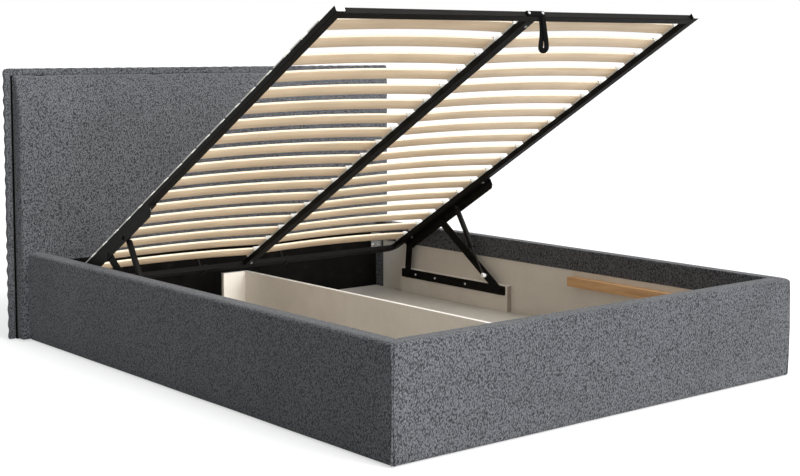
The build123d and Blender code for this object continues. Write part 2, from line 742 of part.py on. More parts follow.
def centre_holder():
    """The double holder on the centre tube that takes two slats' inner ends."""
    half = HOLDER_LENGTH / 2
    x = (-CENTRE_HOLDER_WIDTH / 2, CENTRE_HOLDER_WIDTH / 2)
    body = base_block(x, (-half, half), (TUBE_HEIGHT, HOLDER_TOP))
    return body - slat() - mirrored(slat())


def slat_row(piece):
    """A copy of a piece at each slat."""
    return [Pos(0, -(FIRST_SLAT + SLAT_PITCH * place), 0) * piece for place in range(SLATS)]


def mattress_stop():
    """The right-hand upright that keeps the mattress from sliding, on its clip round the head tube."""
    x = (STOP_PLACE - STOP_CLIP_WIDTH / 2, STOP_PLACE + STOP_CLIP_WIDTH / 2)
    face = base_block(x, (-STOP_CLIP, 0), (-STOP_CLIP, TUBE_HEIGHT + STOP_CLIP))
    under = base_block(x, (0, TUBE_WIDTH), (-STOP_CLIP, 0))
    over = base_block(x, (0, TUBE_WIDTH), (TUBE_HEIGHT, TUBE_HEIGHT + STOP_CLIP))
    rod_at = Pos(STOP_PLACE, (STOP_CLIP + STOP_ROD) / 2, -STOP_CLIP)
    rod = extrude(rod_at * Circle(STOP_ROD / 2), amount=STOP_HEIGHT + STOP_CLIP)
    rod = chamfer(rod.edges().group_by(Axis.Z)[-1], STOP_ROD / 4)
    return face + under + over + rod


def arm(holes):
    """The right-hand angle under the side tube that the links and the strut hold."""
    section = Polyline(
        (FRAME_HALF - TUBE_WIDTH, 0),
        (FRAME_HALF + ARM, 0),
        (FRAME_HALF + ARM, -ARM_DEPTH),
        (FRAME_HALF, -ARM_DEPTH),
        (FRAME_HALF, -ARM),
        (FRAME_HALF - TUBE_WIDTH, -ARM),
        close=True,
    )
    plane = Plane(origin=(0, -ARM_START, 0), x_dir=(1, 0, 0), z_dir=(0, -1, 0))
    angle = extrude(plane * make_face(section.edges()), amount=ARM_END - ARM_START)
    lower = angle.edges().filter_by(Axis.X).group_by(Axis.Z)[0]
    angle = chamfer(lower, ARM_CORNER)
    for hole in holes:
        angle = angle - hole
    return angle


def arm_bolts():
    x = FRAME_HALF - ARM_BOLT_INSET
    return [bolt_up(x, ARM_START + place, -ARM) for place in ARM_BOLT_PLACES]


def strap_plate(screws):
    """The clamp plate on the foot tube's outer face, with the end of the webbing under it."""
    half = STRAP_PLATE_WIDTH / 2
    v = ((TUBE_HEIGHT - STRAP_PLATE_HEIGHT) / 2, (TUBE_HEIGHT + STRAP_PLATE_HEIGHT) / 2)
    outer = FOOT_TUBE_OUTER + WEBBING
    plate = base_block((-half, half), (outer, outer + STRAP_PLATE), v)
    tab = base_block((-half, half), (FOOT_TUBE_OUTER, outer), v)
    pieces = [plate, tab]
    return group([piece - screws[0] - screws[1] for piece in pieces])


def strap_screws():
    """The two bright screws through the clamp plate into the foot tube."""
    face = FOOT_TUBE_OUTER + WEBBING + STRAP_PLATE
    screws = []
    for x in (-STRAP_SCREW_PLACE, STRAP_SCREW_PLACE):
        head = dowel(x, TUBE_HEIGHT / 2, (-face - SCREW_HEAD_HEIGHT, -face), SCREW_HEAD)
        screws.append(head + dowel(x, TUBE_HEIGHT / 2, (-face, -face + SCREW_LENGTH), SCREW))
    return screws


def strap():
    """The pull strap: a flat loop of webbing that hangs down from under the clamp plate, beside the divider."""
    clamp_bottom = (TUBE_HEIGHT - STRAP_PLATE_HEIGHT) / 2
    place = on_base(FOOT_TUBE_OUTER + WEBBING, clamp_bottom - SOFT_GAP - WEBBING / 2)
    top_left = -STRAP_LEAN - STRAP_TOP_WIDTH / 2
    top_right = top_left + STRAP_TOP_WIDTH
    side = STRAP_WIDTH / 2
    outline = Polyline(
        (top_left, 0),
        (-side, -STRAP_LENGTH / 2),
        (-side, -STRAP_LENGTH),
        (side, -STRAP_LENGTH),
        (side, -STRAP_LENGTH / 2),
        (top_right, 0),
        close=True,
    )
    face = make_face(outline.edges())
    lower = face.vertices().group_by(Axis.Y)[0]
    face = fillet(lower, STRAP_END)
    slot_middle = -(STRAP_LENGTH - STRAP_HEM - STRAP_SLOT_LENGTH / 2)
    face = face - Pos(0, slot_middle) * SlotOverall(STRAP_SLOT_LENGTH, STRAP_SLOT, rotation=90)
    plane = Plane(origin=(STRAP_PLACE, place[0], place[1]), x_dir=(1, 0, 0), z_dir=(0, -1, 0))
    loop = extrude(plane * face, amount=WEBBING / 2, both=True)
    return loop + peg((STRAP_PLACE + top_left, STRAP_PLACE + top_right), place, WEBBING)


def opened(shape):
    """A piece of the slatted base, tilted into the open position."""
    return OPEN * shape


def flat(shape):
    """A piece that stands in the open position, brought into the slatted base's own frame."""
    return OPEN.inverse() * shape


def save(name, shape):
    """Write one node, moved so that the origin is the middle of the bounding box's bottom."""
    export_step(Pos(0, -TOTAL_LENGTH / 2, 0) * shape, f"parts/{name}.step")


def save_pair(name, shape):
    """Write a right-hand piece and its left-hand copy as two nodes."""
    save(f"{name}_right", shape)
    save(f"{name}_left", mirrored(shape))


def save_carcass():
    head_corner = (BOARD_INNER - WRAP, LINER_FRONT)
    foot_corner = (BOARD_INNER, FOOT_INNER)
    bolt_length = BRACKET + CORE_BACK - LINER_FRONT - BRACKET_HOLE
    head = (head_corner, -1, HEAD_BRACKET_BOTTOM, SCREW_LENGTH, bolt_length)
    foot = (foot_corner, 1, FOOT_BRACKET_BOTTOM, BRACKET, SCREW_LENGTH)
    head_rail, head_end = bracket_screws(*head)
    foot_rail, foot_end = bracket_screws(*foot)
    head_rail_holes, head_end_holes = bracket_screws(*head, SCREW_PLAY)
    foot_end_holes = bracket_screws(*foot, SCREW_PLAY)[1]
    head_holes = both(head_end_holes)

    save_pair("rail_board", rail_board(head_rail_holes))
    save_pair("rail_cover", rail_cover(head_rail_holes))
    save("foot_board", foot_board(both(foot_end_holes)))
    save("foot_cover", foot_cover())
    save("headboard_board", headboard_slab((CORE_FRONT, CORE_BACK), 0, head_holes))
    save("headboard_pad", headboard_slab((CARCASS_LENGTH, CORE_FRONT), PAD_EDGE, head_holes))
    save("headboard_flange", headboard_flange())
    save("headboard_back", headboard_slab((CORE_BACK, TOTAL_LENGTH), 0, []))
    save("head_liner", head_liner(head_holes))
    brackets = [bracket(head_corner, -1, HEAD_BRACKET_BOTTOM), bracket(foot_corner, 1, FOOT_BRACKET_BOTTOM)]
    save("corner_brackets", group(both(brackets)))
    save("bracket_screws", group(both(foot_rail + foot_end + head_rail)))
    save("headboard_bolts", group(both(head_end)))
    save("divider", divider())
    save("divider_end_plate", end_plate())
    save_pair("floor_board", floor_board())
    save("floor_ledgers", floor_ledgers())
    save("glides", glides())
    save_pair("spacer_board", spacer_board(base_screws(SCREW_PLAY)))
    save_pair("batten", batten())
    save("base_screws", group(both(base_screws())))


def save_mechanism():
    rivets = [rear_base_rivet(), pivot_rivet(FRONT_PIVOT, PLATE)]
    save("base_rivets", group(both(rivets)))
    save_pair("base_bar", base_bar(rivets + base_screws(SCREW_PLAY)))
    save_pair("rear_link", rear_link())
    save_pair("rear_link_rivet", rear_link_rivet())
    save_pair("front_link", front_link())
    save_pair("front_link_stud", link_stud())
    save_pair("strut_cylinder", strut_cylinder())
    save_pair("strut_rod", strut_rod())


def save_slatted_base():
    bolts = arm_bolts()
    studs = [arm_rivet(REAR_ARM), arm_rivet(FRONT_ARM), arm_stud()]
    head_bolt = bolt_up(0, TUBE_WIDTH + TONGUE_BOLT, 0)
    foot_bolt = bolt_up(0, FOOT_TUBE_INNER - TONGUE_BOLT, 0)
    screws = strap_screws()

    save_pair("arm", opened(arm(bolts + [flat(stud) for stud in studs])))
    save("arm_rivets", group(both(studs[:2])))
    save("arm_ball_studs", group(both(studs[2:])))
    save_pair("side_tube", opened(side_tube(bolts)))
    head = cross_tube(TUBE_CENTRE - TUBE_BEND, TUBE_WIDTH / 2)
    save("head_tube", opened(head + tongue(TUBE_WIDTH, 1, head_bolt)))
    foot = cross_tube(FRAME_HALF - TUBE_WIDTH, FOOT_TUBE_INNER + TUBE_WIDTH / 2)
    foot = foot + tongue(FOOT_TUBE_INNER, -1, foot_bolt)
    for screw in screws:
        foot = foot - screw
    save("foot_tube", opened(foot))
    save("centre_tube", opened(centre_tube([head_bolt, foot_bolt])))
    save("frame_bolts", opened(group(both(bolts) + [head_bolt, foot_bolt])))
    save("end_caps", opened(group(both([end_cap()]))))
    save_pair("slats", opened(group(slat_row(slat()))))
    save("outer_holders", opened(group(both(slat_row(outer_holder())))))
    save("centre_holders", opened(group(slat_row(centre_holder()))))
    save_pair("mattress_stop", opened(mattress_stop()))
    save("strap_plate", opened(strap_plate(screws)))
    save("strap_screws", opened(group(screws)))
    save("strap", strap())


os.makedirs("parts", exist_ok=True)
save_carcass()
save_mechanism()
save_slatted_base()
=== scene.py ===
"""Looks of the upholstered storage bed: cloth, boards, slats, steel and the studio around them."""
import bpy
import json
import math
from mathutils import Matrix, Vector, noise


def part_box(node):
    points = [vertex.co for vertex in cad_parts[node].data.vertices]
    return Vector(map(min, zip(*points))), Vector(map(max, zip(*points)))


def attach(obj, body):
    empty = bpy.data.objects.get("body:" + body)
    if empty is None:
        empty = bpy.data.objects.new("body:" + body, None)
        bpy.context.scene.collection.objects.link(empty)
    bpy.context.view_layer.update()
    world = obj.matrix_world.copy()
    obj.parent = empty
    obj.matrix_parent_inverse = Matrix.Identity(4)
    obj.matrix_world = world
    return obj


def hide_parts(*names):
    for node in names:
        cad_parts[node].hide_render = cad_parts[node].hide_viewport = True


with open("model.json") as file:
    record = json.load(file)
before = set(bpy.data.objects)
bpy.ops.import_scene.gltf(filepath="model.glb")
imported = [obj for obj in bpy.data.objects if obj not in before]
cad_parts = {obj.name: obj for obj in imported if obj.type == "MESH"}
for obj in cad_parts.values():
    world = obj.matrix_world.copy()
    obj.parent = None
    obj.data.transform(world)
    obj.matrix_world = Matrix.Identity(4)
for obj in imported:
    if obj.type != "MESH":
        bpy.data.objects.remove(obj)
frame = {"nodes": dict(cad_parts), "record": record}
bpy.ops.object.select_all(action="DESELECT")
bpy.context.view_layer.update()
MM = 0.001

# Camera at the photograph's view
CAMERA_PLACE = (-3.2470, -4.0670, 1.1141)
CAMERA_YAW = math.radians(39.342)
CAMERA_PITCH = math.radians(4.758)
CAMERA_LENS = 65.37
CAMERA_SENSOR = 36.0
CAMERA_SHIFT = -0.086
CAMERA_REACH = 200.0

# Studio: soft light from the front, low and high, and from overhead
ROOM_LIGHT = 0.44
ROOM_TONE = (0.96, 0.98, 1.0, 1.0)
LAMPS = {
    "front_low": ((0.10, -0.99, 0.05), 4.15, math.radians(40)),
    "front_high": ((0.16, -0.78, 0.61), 3.1, math.radians(36)),
    "overhead": ((0.10, -0.25, 0.96), 1.1, math.radians(70)),
    "side": ((-0.75, -0.25, 0.60), 0.15, math.radians(60)),
}
LAMP_DISTANCE = 6.0
FLOOR_SIZE = 400.0
FLOOR_TONE = 0.45
FLOOR_GLOW = 0.55

# Slatted base as it stands open
TILT = math.radians(30.7)
HEAD_END = Vector((0, 896.5, 217.0)) * MM
SLATS = 18
SLAT_PITCH = 102.2 * MM
FIRST_SLAT = 105.0 * MM
SLAT_WIDTH = 58.0 * MM
SLAT_THICKNESS = 8.0 * MM
SLAT_RISE = 9.0 * MM
SLAT_LOW = 25.0 * MM
SLAT_INNER_END = 6.0 * MM
SLAT_OUTER_END = 770.0 * MM
SLAT_EDGE = 1.6 * MM
SLAT_CUTS = 17

# Padded covers
COVER = 37.0 * MM
BOARD = 18.0 * MM
WRAP = 2.0 * MM
TOP_PAD = 10.0 * MM
TURN_IN = 83.0 * MM
COVER_CROWN = 6.0 * MM
COVER_TOP_ROUND = 18.0 * MM
COVER_FOOT_ROUND = 10.0 * MM
COVER_INNER_ROUND = 6.0 * MM
COVER_CELL = 45.0 * MM
COVER_ROW_CUTS = 7
HEAD_STRIP = 55.0 * MM
SEAM_GAP = 0.6 * MM
SEAM_DIP = 5.0 * MM
SEAM_REACH = 16.0 * MM
SEAM_CUTS = (1.0, 0.6, 0.3)
SEAM_SINK = 0.35
PUCKER_SHARE = 0.25
PUCKER_SCALE = 55.0
SOFTNESS = 1.6 * MM
COVER_WAVES = (2.0, 3.2, 5.0)
FINER_WAVES = 3.1
BOUCLE_LEAN = math.radians(-18)

# Gas struts, measured from the upper ball along the strut
TUBE_RADIUS = 11.0 * MM
TUBE_START = 13.0 * MM
TUBE_END = 186.0 * MM
TUBE_EDGE = 2.5 * MM
CAP_RADIUS = 12.5 * MM
CAP_LENGTH = 21.0 * MM
CAP_LIP = 0.6 * MM
CAP_EDGE = 1.2 * MM
NECK_RADIUS = 5.0 * MM
NECK_EDGE = 0.5 * MM
SOCKET_RADIUS = 8.0 * MM
SOCKET_EDGE = 1.0 * MM
ROD_SOCKET = 19.0 * MM
BAR_SIDES = 40

# Pull strap: two strands that cross at the clamp and open into a loop below
STRAP_PLACE = 31.0 * MM
STRAP_LENGTH = 116.0 * MM
STRAP_BAND = 17.5 * MM
STRAP_GAP = 5.0 * MM
STRAP_THICKNESS = 2.6 * MM
STRAP_LAYER = 3.4 * MM
STRAP_CLEAR = 0.8 * MM
STRAP_LEAN = 7.0 * MM
STRAP_TWIST = math.radians(12)
STRAP_BOW = 3.0 * MM
STRAP_CROSSING = 1.5 * MM
STRAP_PINCH = (0.4, 12.0)
STRAP_OPENS = (0.30, 0.55)
STRAP_TURN_STEPS = 12
STRAP_CUTS = 16
STRAP_EDGE = 0.6 * MM

# Headboard
PAD_ROUND = 13.0 * MM
PAD_CELL = 18.0 * MM
PAD_CAP = 6.0 * MM
PAD_TAPER = 170.0 * MM
PAD_TOP_SHARE = 0.24
PAD_SEAM = 2.0 * MM
PAD_DASH = 6.0 * MM
PAD_DASH_SCALE = 16.0
PAD_DASH_FROM = 0.12
PAD_WAVES = (4.0, 12.0)
PAD_OVERLAP = 3.0 * MM
PAD_HELD = 120.0 * MM
PAD_GAP = 0.5 * MM
PAD_FREE = 20.0 * MM
PAD_PRESSURE = 2.2
PAD_STEPS = 18
PAD_BACK_CUTS = (3.0 * MM, 9.0 * MM)
FLANGE_ROOT = 2.5 * MM
FLANGE_CORNER = 10.0 * MM
FLANGE_ROUND_SHARE = 0.11
FLANGE_FULL = 3.0 * MM
FLANGE_WAVE = 50.0 * MM
FLANGE_SWAY = 2.8 * MM
FLANGE_DRIFT = (1.6, 9.0)
FLANGE_VARIES = (0.75, 5.0)
FLANGE_LAG = 0.9
FLANGE_TOP_SHARE = 0.35
FLANGE_CUTS = (20, 20)

# Cloth of the headboard pad while it is blown up
PAD_CLOTH = {
    "quality": 4,
    "mass": 0.4,
    "tension_stiffness": 12.0,
    "compression_stiffness": 12.0,
    "shear_stiffness": 6.0,
    "bending_stiffness": 0.6,
    "use_pressure": True,
}

# Sockets of a colour mix node: factor, first colour, second colour, and the result
MIX_INPUTS = (0, 6, 7)
MIX_OUTPUT = 2


# Node building for the finishes
class Finish:
    """A material under construction: its node tree and its shader."""

    def __init__(self, name, roughness, metallic=0.0):
        self.material = bpy.data.materials.new(name)
        self.material.use_nodes = True
        self.tree = self.material.node_tree
        self.shader = self.tree.nodes["Principled BSDF"]
        self.shader.inputs["Roughness"].default_value = roughness
        self.shader.inputs["Metallic"].default_value = metallic

    def add(self, kind, settings=(), inputs=()):
        """A new node; inputs are linked where they are sockets and set where they are values."""
        node = self.tree.nodes.new(kind)
        for name, value in dict(settings).items():
            setattr(node, name, value)
        for name, value in dict(inputs).items():
            if isinstance(value, bpy.types.NodeSocket):
                self.tree.links.new(value, node.inputs[name])
            else:
                node.inputs[name].default_value = value
        return node

    def place(self, scale=(1, 1, 1), rotation=(0, 0, 0)):
        """Object coordinates, turned and scaled."""
        coordinates = self.add("ShaderNodeTexCoord").outputs["Object"]
        inputs = {"Vector": coordinates, "Scale": scale, "Rotation": rotation}
        return self.add("ShaderNodeMapping", inputs=inputs).outputs["Vector"]

    def drawn_out(self, vector, scale):
        """Coordinates with a scale of their own along each axis."""
        inputs = {"Vector": vector, "Scale": scale}
        return self.add("ShaderNodeMapping", inputs=inputs).outputs["Vector"]

    def vector_math(self, operation, inputs):
        return self.add("ShaderNodeVectorMath", {"operation": operation}, inputs).outputs["Vector"]

    def noise(self, vector, scale, detail=2.0, roughness=0.5, distortion=0.0):
        inputs = {"Vector": vector, "Scale": scale, "Detail": detail, "Roughness": roughness}
        inputs["Distortion"] = distortion
        return self.add("ShaderNodeTexNoise", inputs=inputs)

    def cells(self, vector, scale, smoothness=0.35):
        settings = {"feature": "SMOOTH_F1"}
        inputs = {"Vector": vector, "Scale": scale, "Smoothness": smoothness}
        return self.add("ShaderNodeTexVoronoi", settings, inputs).outputs["Distance"]

    def ramp(self, value, stops):
        node = self.add("ShaderNodeValToRGB", inputs={"Fac": value})
        elements = node.color_ramp.elements
        while len(elements) < len(stops):
            elements.new(0.5)
        for element, (place, colour) in zip(elements, stops):
            element.position = place
            element.color = (*colour, 1.0)
        return node.outputs["Color"]

    def mix(self, kind, amount, first, second):
        settings = {"data_type": "RGBA", "blend_type": kind}
        node = self.add("ShaderNodeMix", settings)
        factor = node.inputs[MIX_INPUTS[0]]
        for index, value in zip(MIX_INPUTS, (amount, first, second)):
            socket = node.inputs[index]
            if isinstance(value, bpy.types.NodeSocket):
                self.tree.links.new(value, socket)
            else:
                socket.default_value = value if socket == factor else (*value, 1.0)
        return node.outputs[MIX_OUTPUT]

    def math(self, operation, first, second=0.0):
        node = self.add("ShaderNodeMath", {"operation": operation})
        for socket, value in zip(node.inputs, (first, second)):
            if isinstance(value, bpy.types.NodeSocket):
                self.tree.links.new(value, socket)
            else:
                socket.default_value = value
        return node.outputs["Value"]

    def range(self, value, low, high, start=0.0, end=1.0):
        inputs = {"Value": value, "From Min": low, "From Max": high, "To Min": start, "To Max": end}
        return self.add("ShaderNodeMapRange", inputs=inputs).outputs["Result"]

    def bump(self, height, distance, strength=1.0, below=None):
        inputs = {"Height": height, "Distance": distance, "Strength": strength}
        if below is not None:
            inputs["Normal"] = below
        return self.add("ShaderNodeBump", inputs=inputs).outputs["Normal"]

    def colour(self, value):
        if isinstance(value, bpy.types.NodeSocket):
            self.tree.links.new(value, self.shader.inputs["Base Color"])
        else:
            self.shader.inputs["Base Color"].default_value = (*value, 1.0)

    def normal(self, value):
        self.tree.links.new(value, self.shader.inputs["Normal"])

    def rough(self, value):
        self.tree.links.new(value, self.shader.inputs["Roughness"])


def grey(value):
    return (value, value, value)


def boucle_finish():
    """Looped yarn: small upright worms of yarn, with a painted highlight on their crests and painted shade in
    the dark gaps between them.
    """
    finish = Finish("boucle", 0.92)
    finish.shader.inputs["Sheen Weight"].default_value = 0.12
    finish.shader.inputs["Sheen Roughness"].default_value = 0.5
    finish.shader.inputs["Specular IOR Level"].default_value = 0.15
    base = finish.place(rotation=(BOUCLE_LEAN, BOUCLE_LEAN, 0))
    sway = finish.noise(base, 90.0, 2.0).outputs["Color"]
    sway = finish.vector_math("SCALE", {0: sway, "Scale": 0.004})
    swayed = finish.vector_math("ADD", {0: base, 1: sway})
    upright = finish.drawn_out(swayed, (1.0, 1.0, 0.50))
    loops = finish.cells(upright, 270.0)
    # Painted light: 1 on each loop's crest, a painted highlight, falling to 0 in the gaps between loops,
    # painted shade.
    crest_highlight_and_gap_shade = finish.range(loops, 0.15, 0.75, 1.0, 0.0)
    fibre = finish.noise(base, 620.0, 3.0, 0.6).outputs["Fac"]
    patch = finish.noise(base, 3.5, 3.0, 0.55).outputs["Fac"]
    tuft = finish.noise(upright, 230.0, 2.0, 0.6).outputs["Fac"]
    level = finish.math("ADD", finish.math("MULTIPLY", crest_highlight_and_gap_shade, 0.62), finish.math("MULTIPLY", tuft, 0.55))
    # The ramp paints the crests lit and the gaps between the loops shaded, over the random tufts.
    stops = [(0.26, (0.017, 0.018, 0.020)), (0.50, (0.056, 0.058, 0.064)), (0.74, (0.114, 0.118, 0.127))]
    yarn = finish.ramp(level, stops)
    shade = finish.ramp(finish.range(patch, 0.3, 0.7), [(0.0, grey(0.90)), (1.0, grey(1.08))])
    fuzz = finish.ramp(fibre, [(0.25, grey(0.82)), (0.75, grey(1.15))])
    finish.colour(finish.mix("MULTIPLY", 1.0, finish.mix("MULTIPLY", 1.0, yarn, shade), fuzz))
    looped = finish.bump(level, 1.8 * MM, 0.75)
    finish.normal(finish.bump(fibre, 0.5 * MM, 0.5, looped))
    return finish.material


def backing_finish():
    """Thin black non-woven cloth: pressed spots and a cloudy, dusty mottling."""
    finish = Finish("backing_cloth", 0.85)
    finish.shader.inputs["Specular IOR Level"].default_value = 0.06
    base = finish.place()
    cloud = finish.noise(base, 14.0, 5.0, 0.62).outputs["Fac"]
    stops = [(0.35, (0.0008, 0.0007, 0.0006)), (0.60, (0.0030, 0.0025, 0.0020)), (0.80, (0.013, 0.0105, 0.008))]
    finish.colour(finish.ramp(cloud, stops))
    spots = finish.cells(base, 420.0, 0.1)
    fibre = finish.noise(base, 700.0, 2.0).outputs["Fac"]
    finish.normal(finish.bump(fibre, 0.3 * MM, 0.4, finish.bump(spots, 0.5 * MM, 0.5)))
    return finish.material


def board_finish(name, depth=1.0, edge_height=None, end=None):
    """Beige melamine with a faint mottling, painted darker for a smaller depth and lighter for a larger one, as
    painted shade and painted light.

    Above edge_height a near-white band is painted, partly its white edge band and partly a painted highlight of
    the light on its top edge; before the end, a value of y, its edge is dark brown.
    """
    finish = Finish(name, 0.5)
    base = finish.place()
    mottle = finish.noise(base, 9.0, 6.0, 0.6).outputs["Fac"]
    speck = finish.noise(base, 420.0, 2.0, 0.7).outputs["Fac"]
    stops = [(0.28, (0.620, 0.578, 0.512)), (0.72, (0.690, 0.645, 0.575))]
    beige = finish.ramp(mottle, stops)
    # depth scales the flecks and so the whole board: a painted light level for lit and shaded copies of one
    # melamine.
    flecks_and_painted_light = finish.ramp(speck, [(0.35, grey(0.94 * depth)), (0.65, grey(1.04 * depth))])
    tint = finish.mix("MULTIPLY", 1.0, beige, flecks_and_painted_light)
    if edge_height is not None:
        height = finish.add("ShaderNodeSeparateXYZ", inputs={"Vector": base}).outputs["Z"]
        # Near-white top edge: partly the white edge band, partly a painted highlight on the lit top.
        band = finish.math("GREATER_THAN", height, edge_height)
        tint = finish.mix("MIX", band, tint, (0.86, 0.84, 0.80))
    if end is not None:
        place = finish.add("ShaderNodeSeparateXYZ", inputs={"Vector": base}).outputs["Y"]
        tint = finish.mix("MIX", finish.math("LESS_THAN", place, end), tint, (0.215, 0.170, 0.135))
    finish.colour(tint)
    finish.rough(finish.range(mottle, 0.2, 0.8, 0.42, 0.58))
    finish.normal(finish.bump(speck, 0.08 * MM, 0.4))
    return finish.material


def chipboard_finish():
    """Raw particle board: pressed chips of several tones."""
    finish = Finish("chipboard", 0.8)
    base = finish.place()
    chips = finish.add("ShaderNodeTexVoronoi", inputs={"Vector": base, "Scale": 260.0})
    tone = finish.add("ShaderNodeSeparateColor", inputs={"Color": chips.outputs["Color"]}).outputs["Red"]
    stops = [(0.0, (0.21, 0.15, 0.09)), (0.5, (0.42, 0.31, 0.19)), (1.0, (0.60, 0.47, 0.31))]
    finish.colour(finish.ramp(tone, stops))
    finish.normal(finish.bump(chips.outputs["Distance"], 0.5 * MM, 0.5))
    return finish.material


def grain_finish(name, stops, rotation, stretch, roughness, knots=0.0):
    """Planed wood; stretch draws the grain out along one axis of the turned coordinates."""
    finish = Finish(name, roughness)
    base = finish.place(rotation=rotation)
    drawn = finish.drawn_out(base, stretch)
    growth = finish.noise(drawn, 1.0, 3.0, 0.55, 0.8 + knots).outputs["Fac"]
    pores = finish.noise(drawn, 9.0, 4.0, 0.7).outputs["Fac"]
    tone = finish.math("ADD", finish.math("MULTIPLY", growth, 0.7), finish.math("MULTIPLY", pores, 0.3))
    finish.colour(finish.ramp(tone, stops))
    finish.rough(finish.range(pores, 0.3, 0.7, roughness - 0.08, roughness + 0.08))
    finish.normal(finish.bump(pores, 0.15 * MM, 0.4))
    return finish.material


def slat_finish():
    """Birch laminate: a quiet grain on the faces, pale veneer lines on the edges."""
    finish = Finish("birch_laminate", 0.42)
    finish.shader.inputs["Coat Weight"].default_value = 0.15
    finish.shader.inputs["Coat Roughness"].default_value = 0.3
    base = finish.place(rotation=(TILT, 0, 0))
    drawn = finish.drawn_out(base, (2.2, 55.0, 8.0))
    growth = finish.noise(drawn, 1.0, 3.0, 0.6, 0.6).outputs["Fac"]
    pores = finish.noise(drawn, 12.0, 3.0, 0.7).outputs["Fac"]
    each = finish.noise(base, 7.0, 1.0).outputs["Fac"]
    tone = finish.math("ADD", finish.math("MULTIPLY", growth, 0.6), finish.math("MULTIPLY", pores, 0.4))
    stops = [(0.28, (0.685, 0.50, 0.315)), (0.50, (0.81, 0.625, 0.425)), (0.74, (0.885, 0.715, 0.52))]
    face = finish.ramp(tone, stops)
    face = finish.mix("MULTIPLY", 1.0, face, finish.ramp(each, [(0.3, grey(0.93)), (0.7, grey(1.06))]))
    layer = finish.add("ShaderNodeAttribute", {"attribute_name": "layer"}).outputs["Fac"]
    veneer = finish.math("FRACT", finish.math("MULTIPLY", layer, 3.0))
    lines = [(0.30, (0.66, 0.57, 0.44)), (0.55, (0.50, 0.39, 0.265)), (0.8, (0.70, 0.61, 0.48))]
    edge = finish.ramp(veneer, lines)
    side = finish.add("ShaderNodeAttribute", {"attribute_name": "side"}).outputs["Fac"]
    finish.colour(finish.mix("MIX", side, face, edge))
    finish.normal(finish.bump(pores, 0.12 * MM, 0.35))
    return finish.material


def steel_finish():
    """Semi-matt black powder coat with a fine orange peel."""
    finish = Finish("black_powder_coat", 0.5)
    finish.shader.inputs["Specular IOR Level"].default_value = 0.10
    base = finish.place()
    peel = finish.noise(base, 900.0, 2.0, 0.5).outputs["Fac"]
    dust = finish.noise(base, 26.0, 4.0, 0.6).outputs["Fac"]
    finish.colour(finish.ramp(dust, [(0.35, (0.0028, 0.0025, 0.0021)), (0.75, (0.0062, 0.0056, 0.0048))]))
    finish.rough(finish.range(dust, 0.3, 0.7, 0.44, 0.56))
    finish.normal(finish.bump(peel, 0.12 * MM, 0.35))
    return finish.material


def metal_finish(name, colour, roughness):
    """Plated metal with fine handling marks."""
    finish = Finish(name, roughness, 1.0)
    base = finish.place()
    marks = finish.noise(base, 260.0, 4.0, 0.65, 0.5).outputs["Fac"]
    darker = tuple(share * 0.8 for share in colour)
    finish.colour(finish.ramp(marks, [(0.3, darker), (0.7, colour)]))
    finish.rough(finish.range(marks, 0.3, 0.7, roughness * 0.75, roughness * 1.25))
    finish.normal(finish.bump(marks, 0.05 * MM, 0.4))
    return finish.material


def rod_finish(socket_top):
    """Dark nitrided rod; below socket_top its socket is bright zinc."""
    finish = Finish("nitrided_rod", 0.5)
    finish.shader.inputs["Specular IOR Level"].default_value = 0.15
    base = finish.place()
    height = finish.add("ShaderNodeSeparateXYZ", inputs={"Vector": base}).outputs["Z"]
    marks = finish.noise(base, 260.0, 4.0, 0.65, 0.5).outputs["Fac"]
    dark = finish.ramp(marks, [(0.3, (0.008, 0.007, 0.006)), (0.7, (0.016, 0.014, 0.012))])
    bright = finish.ramp(marks, [(0.3, grey(0.72)), (0.7, grey(0.90))])
    finish.colour(finish.mix("MIX", finish.math("LESS_THAN", height, socket_top), dark, bright))
    finish.normal(finish.bump(marks, 0.05 * MM, 0.4))
    return finish.material


def plastic_finish(name, colour, roughness):
    """Moulded plastic with a spark-eroded surface."""
    finish = Finish(name, roughness)
    base = finish.place()
    spark = finish.noise(base, 1100.0, 2.0, 0.6).outputs["Fac"]
    tone = finish.noise(base, 40.0, 2.0).outputs["Fac"]
    darker = tuple(share * 0.92 for share in colour)
    finish.colour(finish.ramp(tone, [(0.35, darker), (0.65, colour)]))
    finish.normal(finish.bump(spark, 0.08 * MM, 0.4))
    return finish.material


def webbing_finish():
    """Black webbing, woven in a fine zigzag across its width."""
    finish = Finish("webbing", 0.75)
    finish.shader.inputs["Specular IOR Level"].default_value = 0.05
    base = finish.place()
    weave = {"wave_type": "BANDS", "bands_direction": "DIAGONAL", "wave_profile": "SIN"}
    inputs = {"Vector": base, "Scale": 95.0, "Distortion": 1.2, "Detail": 1.0}
    bands = finish.add("ShaderNodeTexWave", weave, inputs).outputs["Fac"]
    ribs = finish.add(
        "ShaderNodeTexWave",
        {"wave_type": "BANDS", "bands_direction": "Z"},
        {"Vector": base, "Scale": 160.0},
    ).outputs["Fac"]
    level = finish.math("MULTIPLY", bands, ribs)
    finish.colour(finish.ramp(level, [(0.1, (0.0010, 0.0010, 0.0010)), (0.9, (0.0045, 0.0045, 0.0045))]))
    finish.normal(finish.bump(level, 0.5 * MM, 0.6))
    return finish.material


# Mesh building
def activate(piece):
    bpy.ops.object.select_all(action="DESELECT")
    piece.select_set(True)
    bpy.context.view_layer.objects.active = piece


def settle(piece):
    """Bake the object's place into its mesh, so that the object sits at the origin."""
    activate(piece)
    bpy.ops.object.transform_apply(location=True, rotation=True, scale=True)


def added(name):
    piece = bpy.context.object
    piece.name = name
    piece.data.name = name
    return piece


def add_box(name, low, high):
    low, high = Vector(low), Vector(high)
    bpy.ops.mesh.primitive_cube_add(size=1, location=(low + high) / 2)
    piece = added(name)
    piece.scale = high - low
    settle(piece)
    return piece


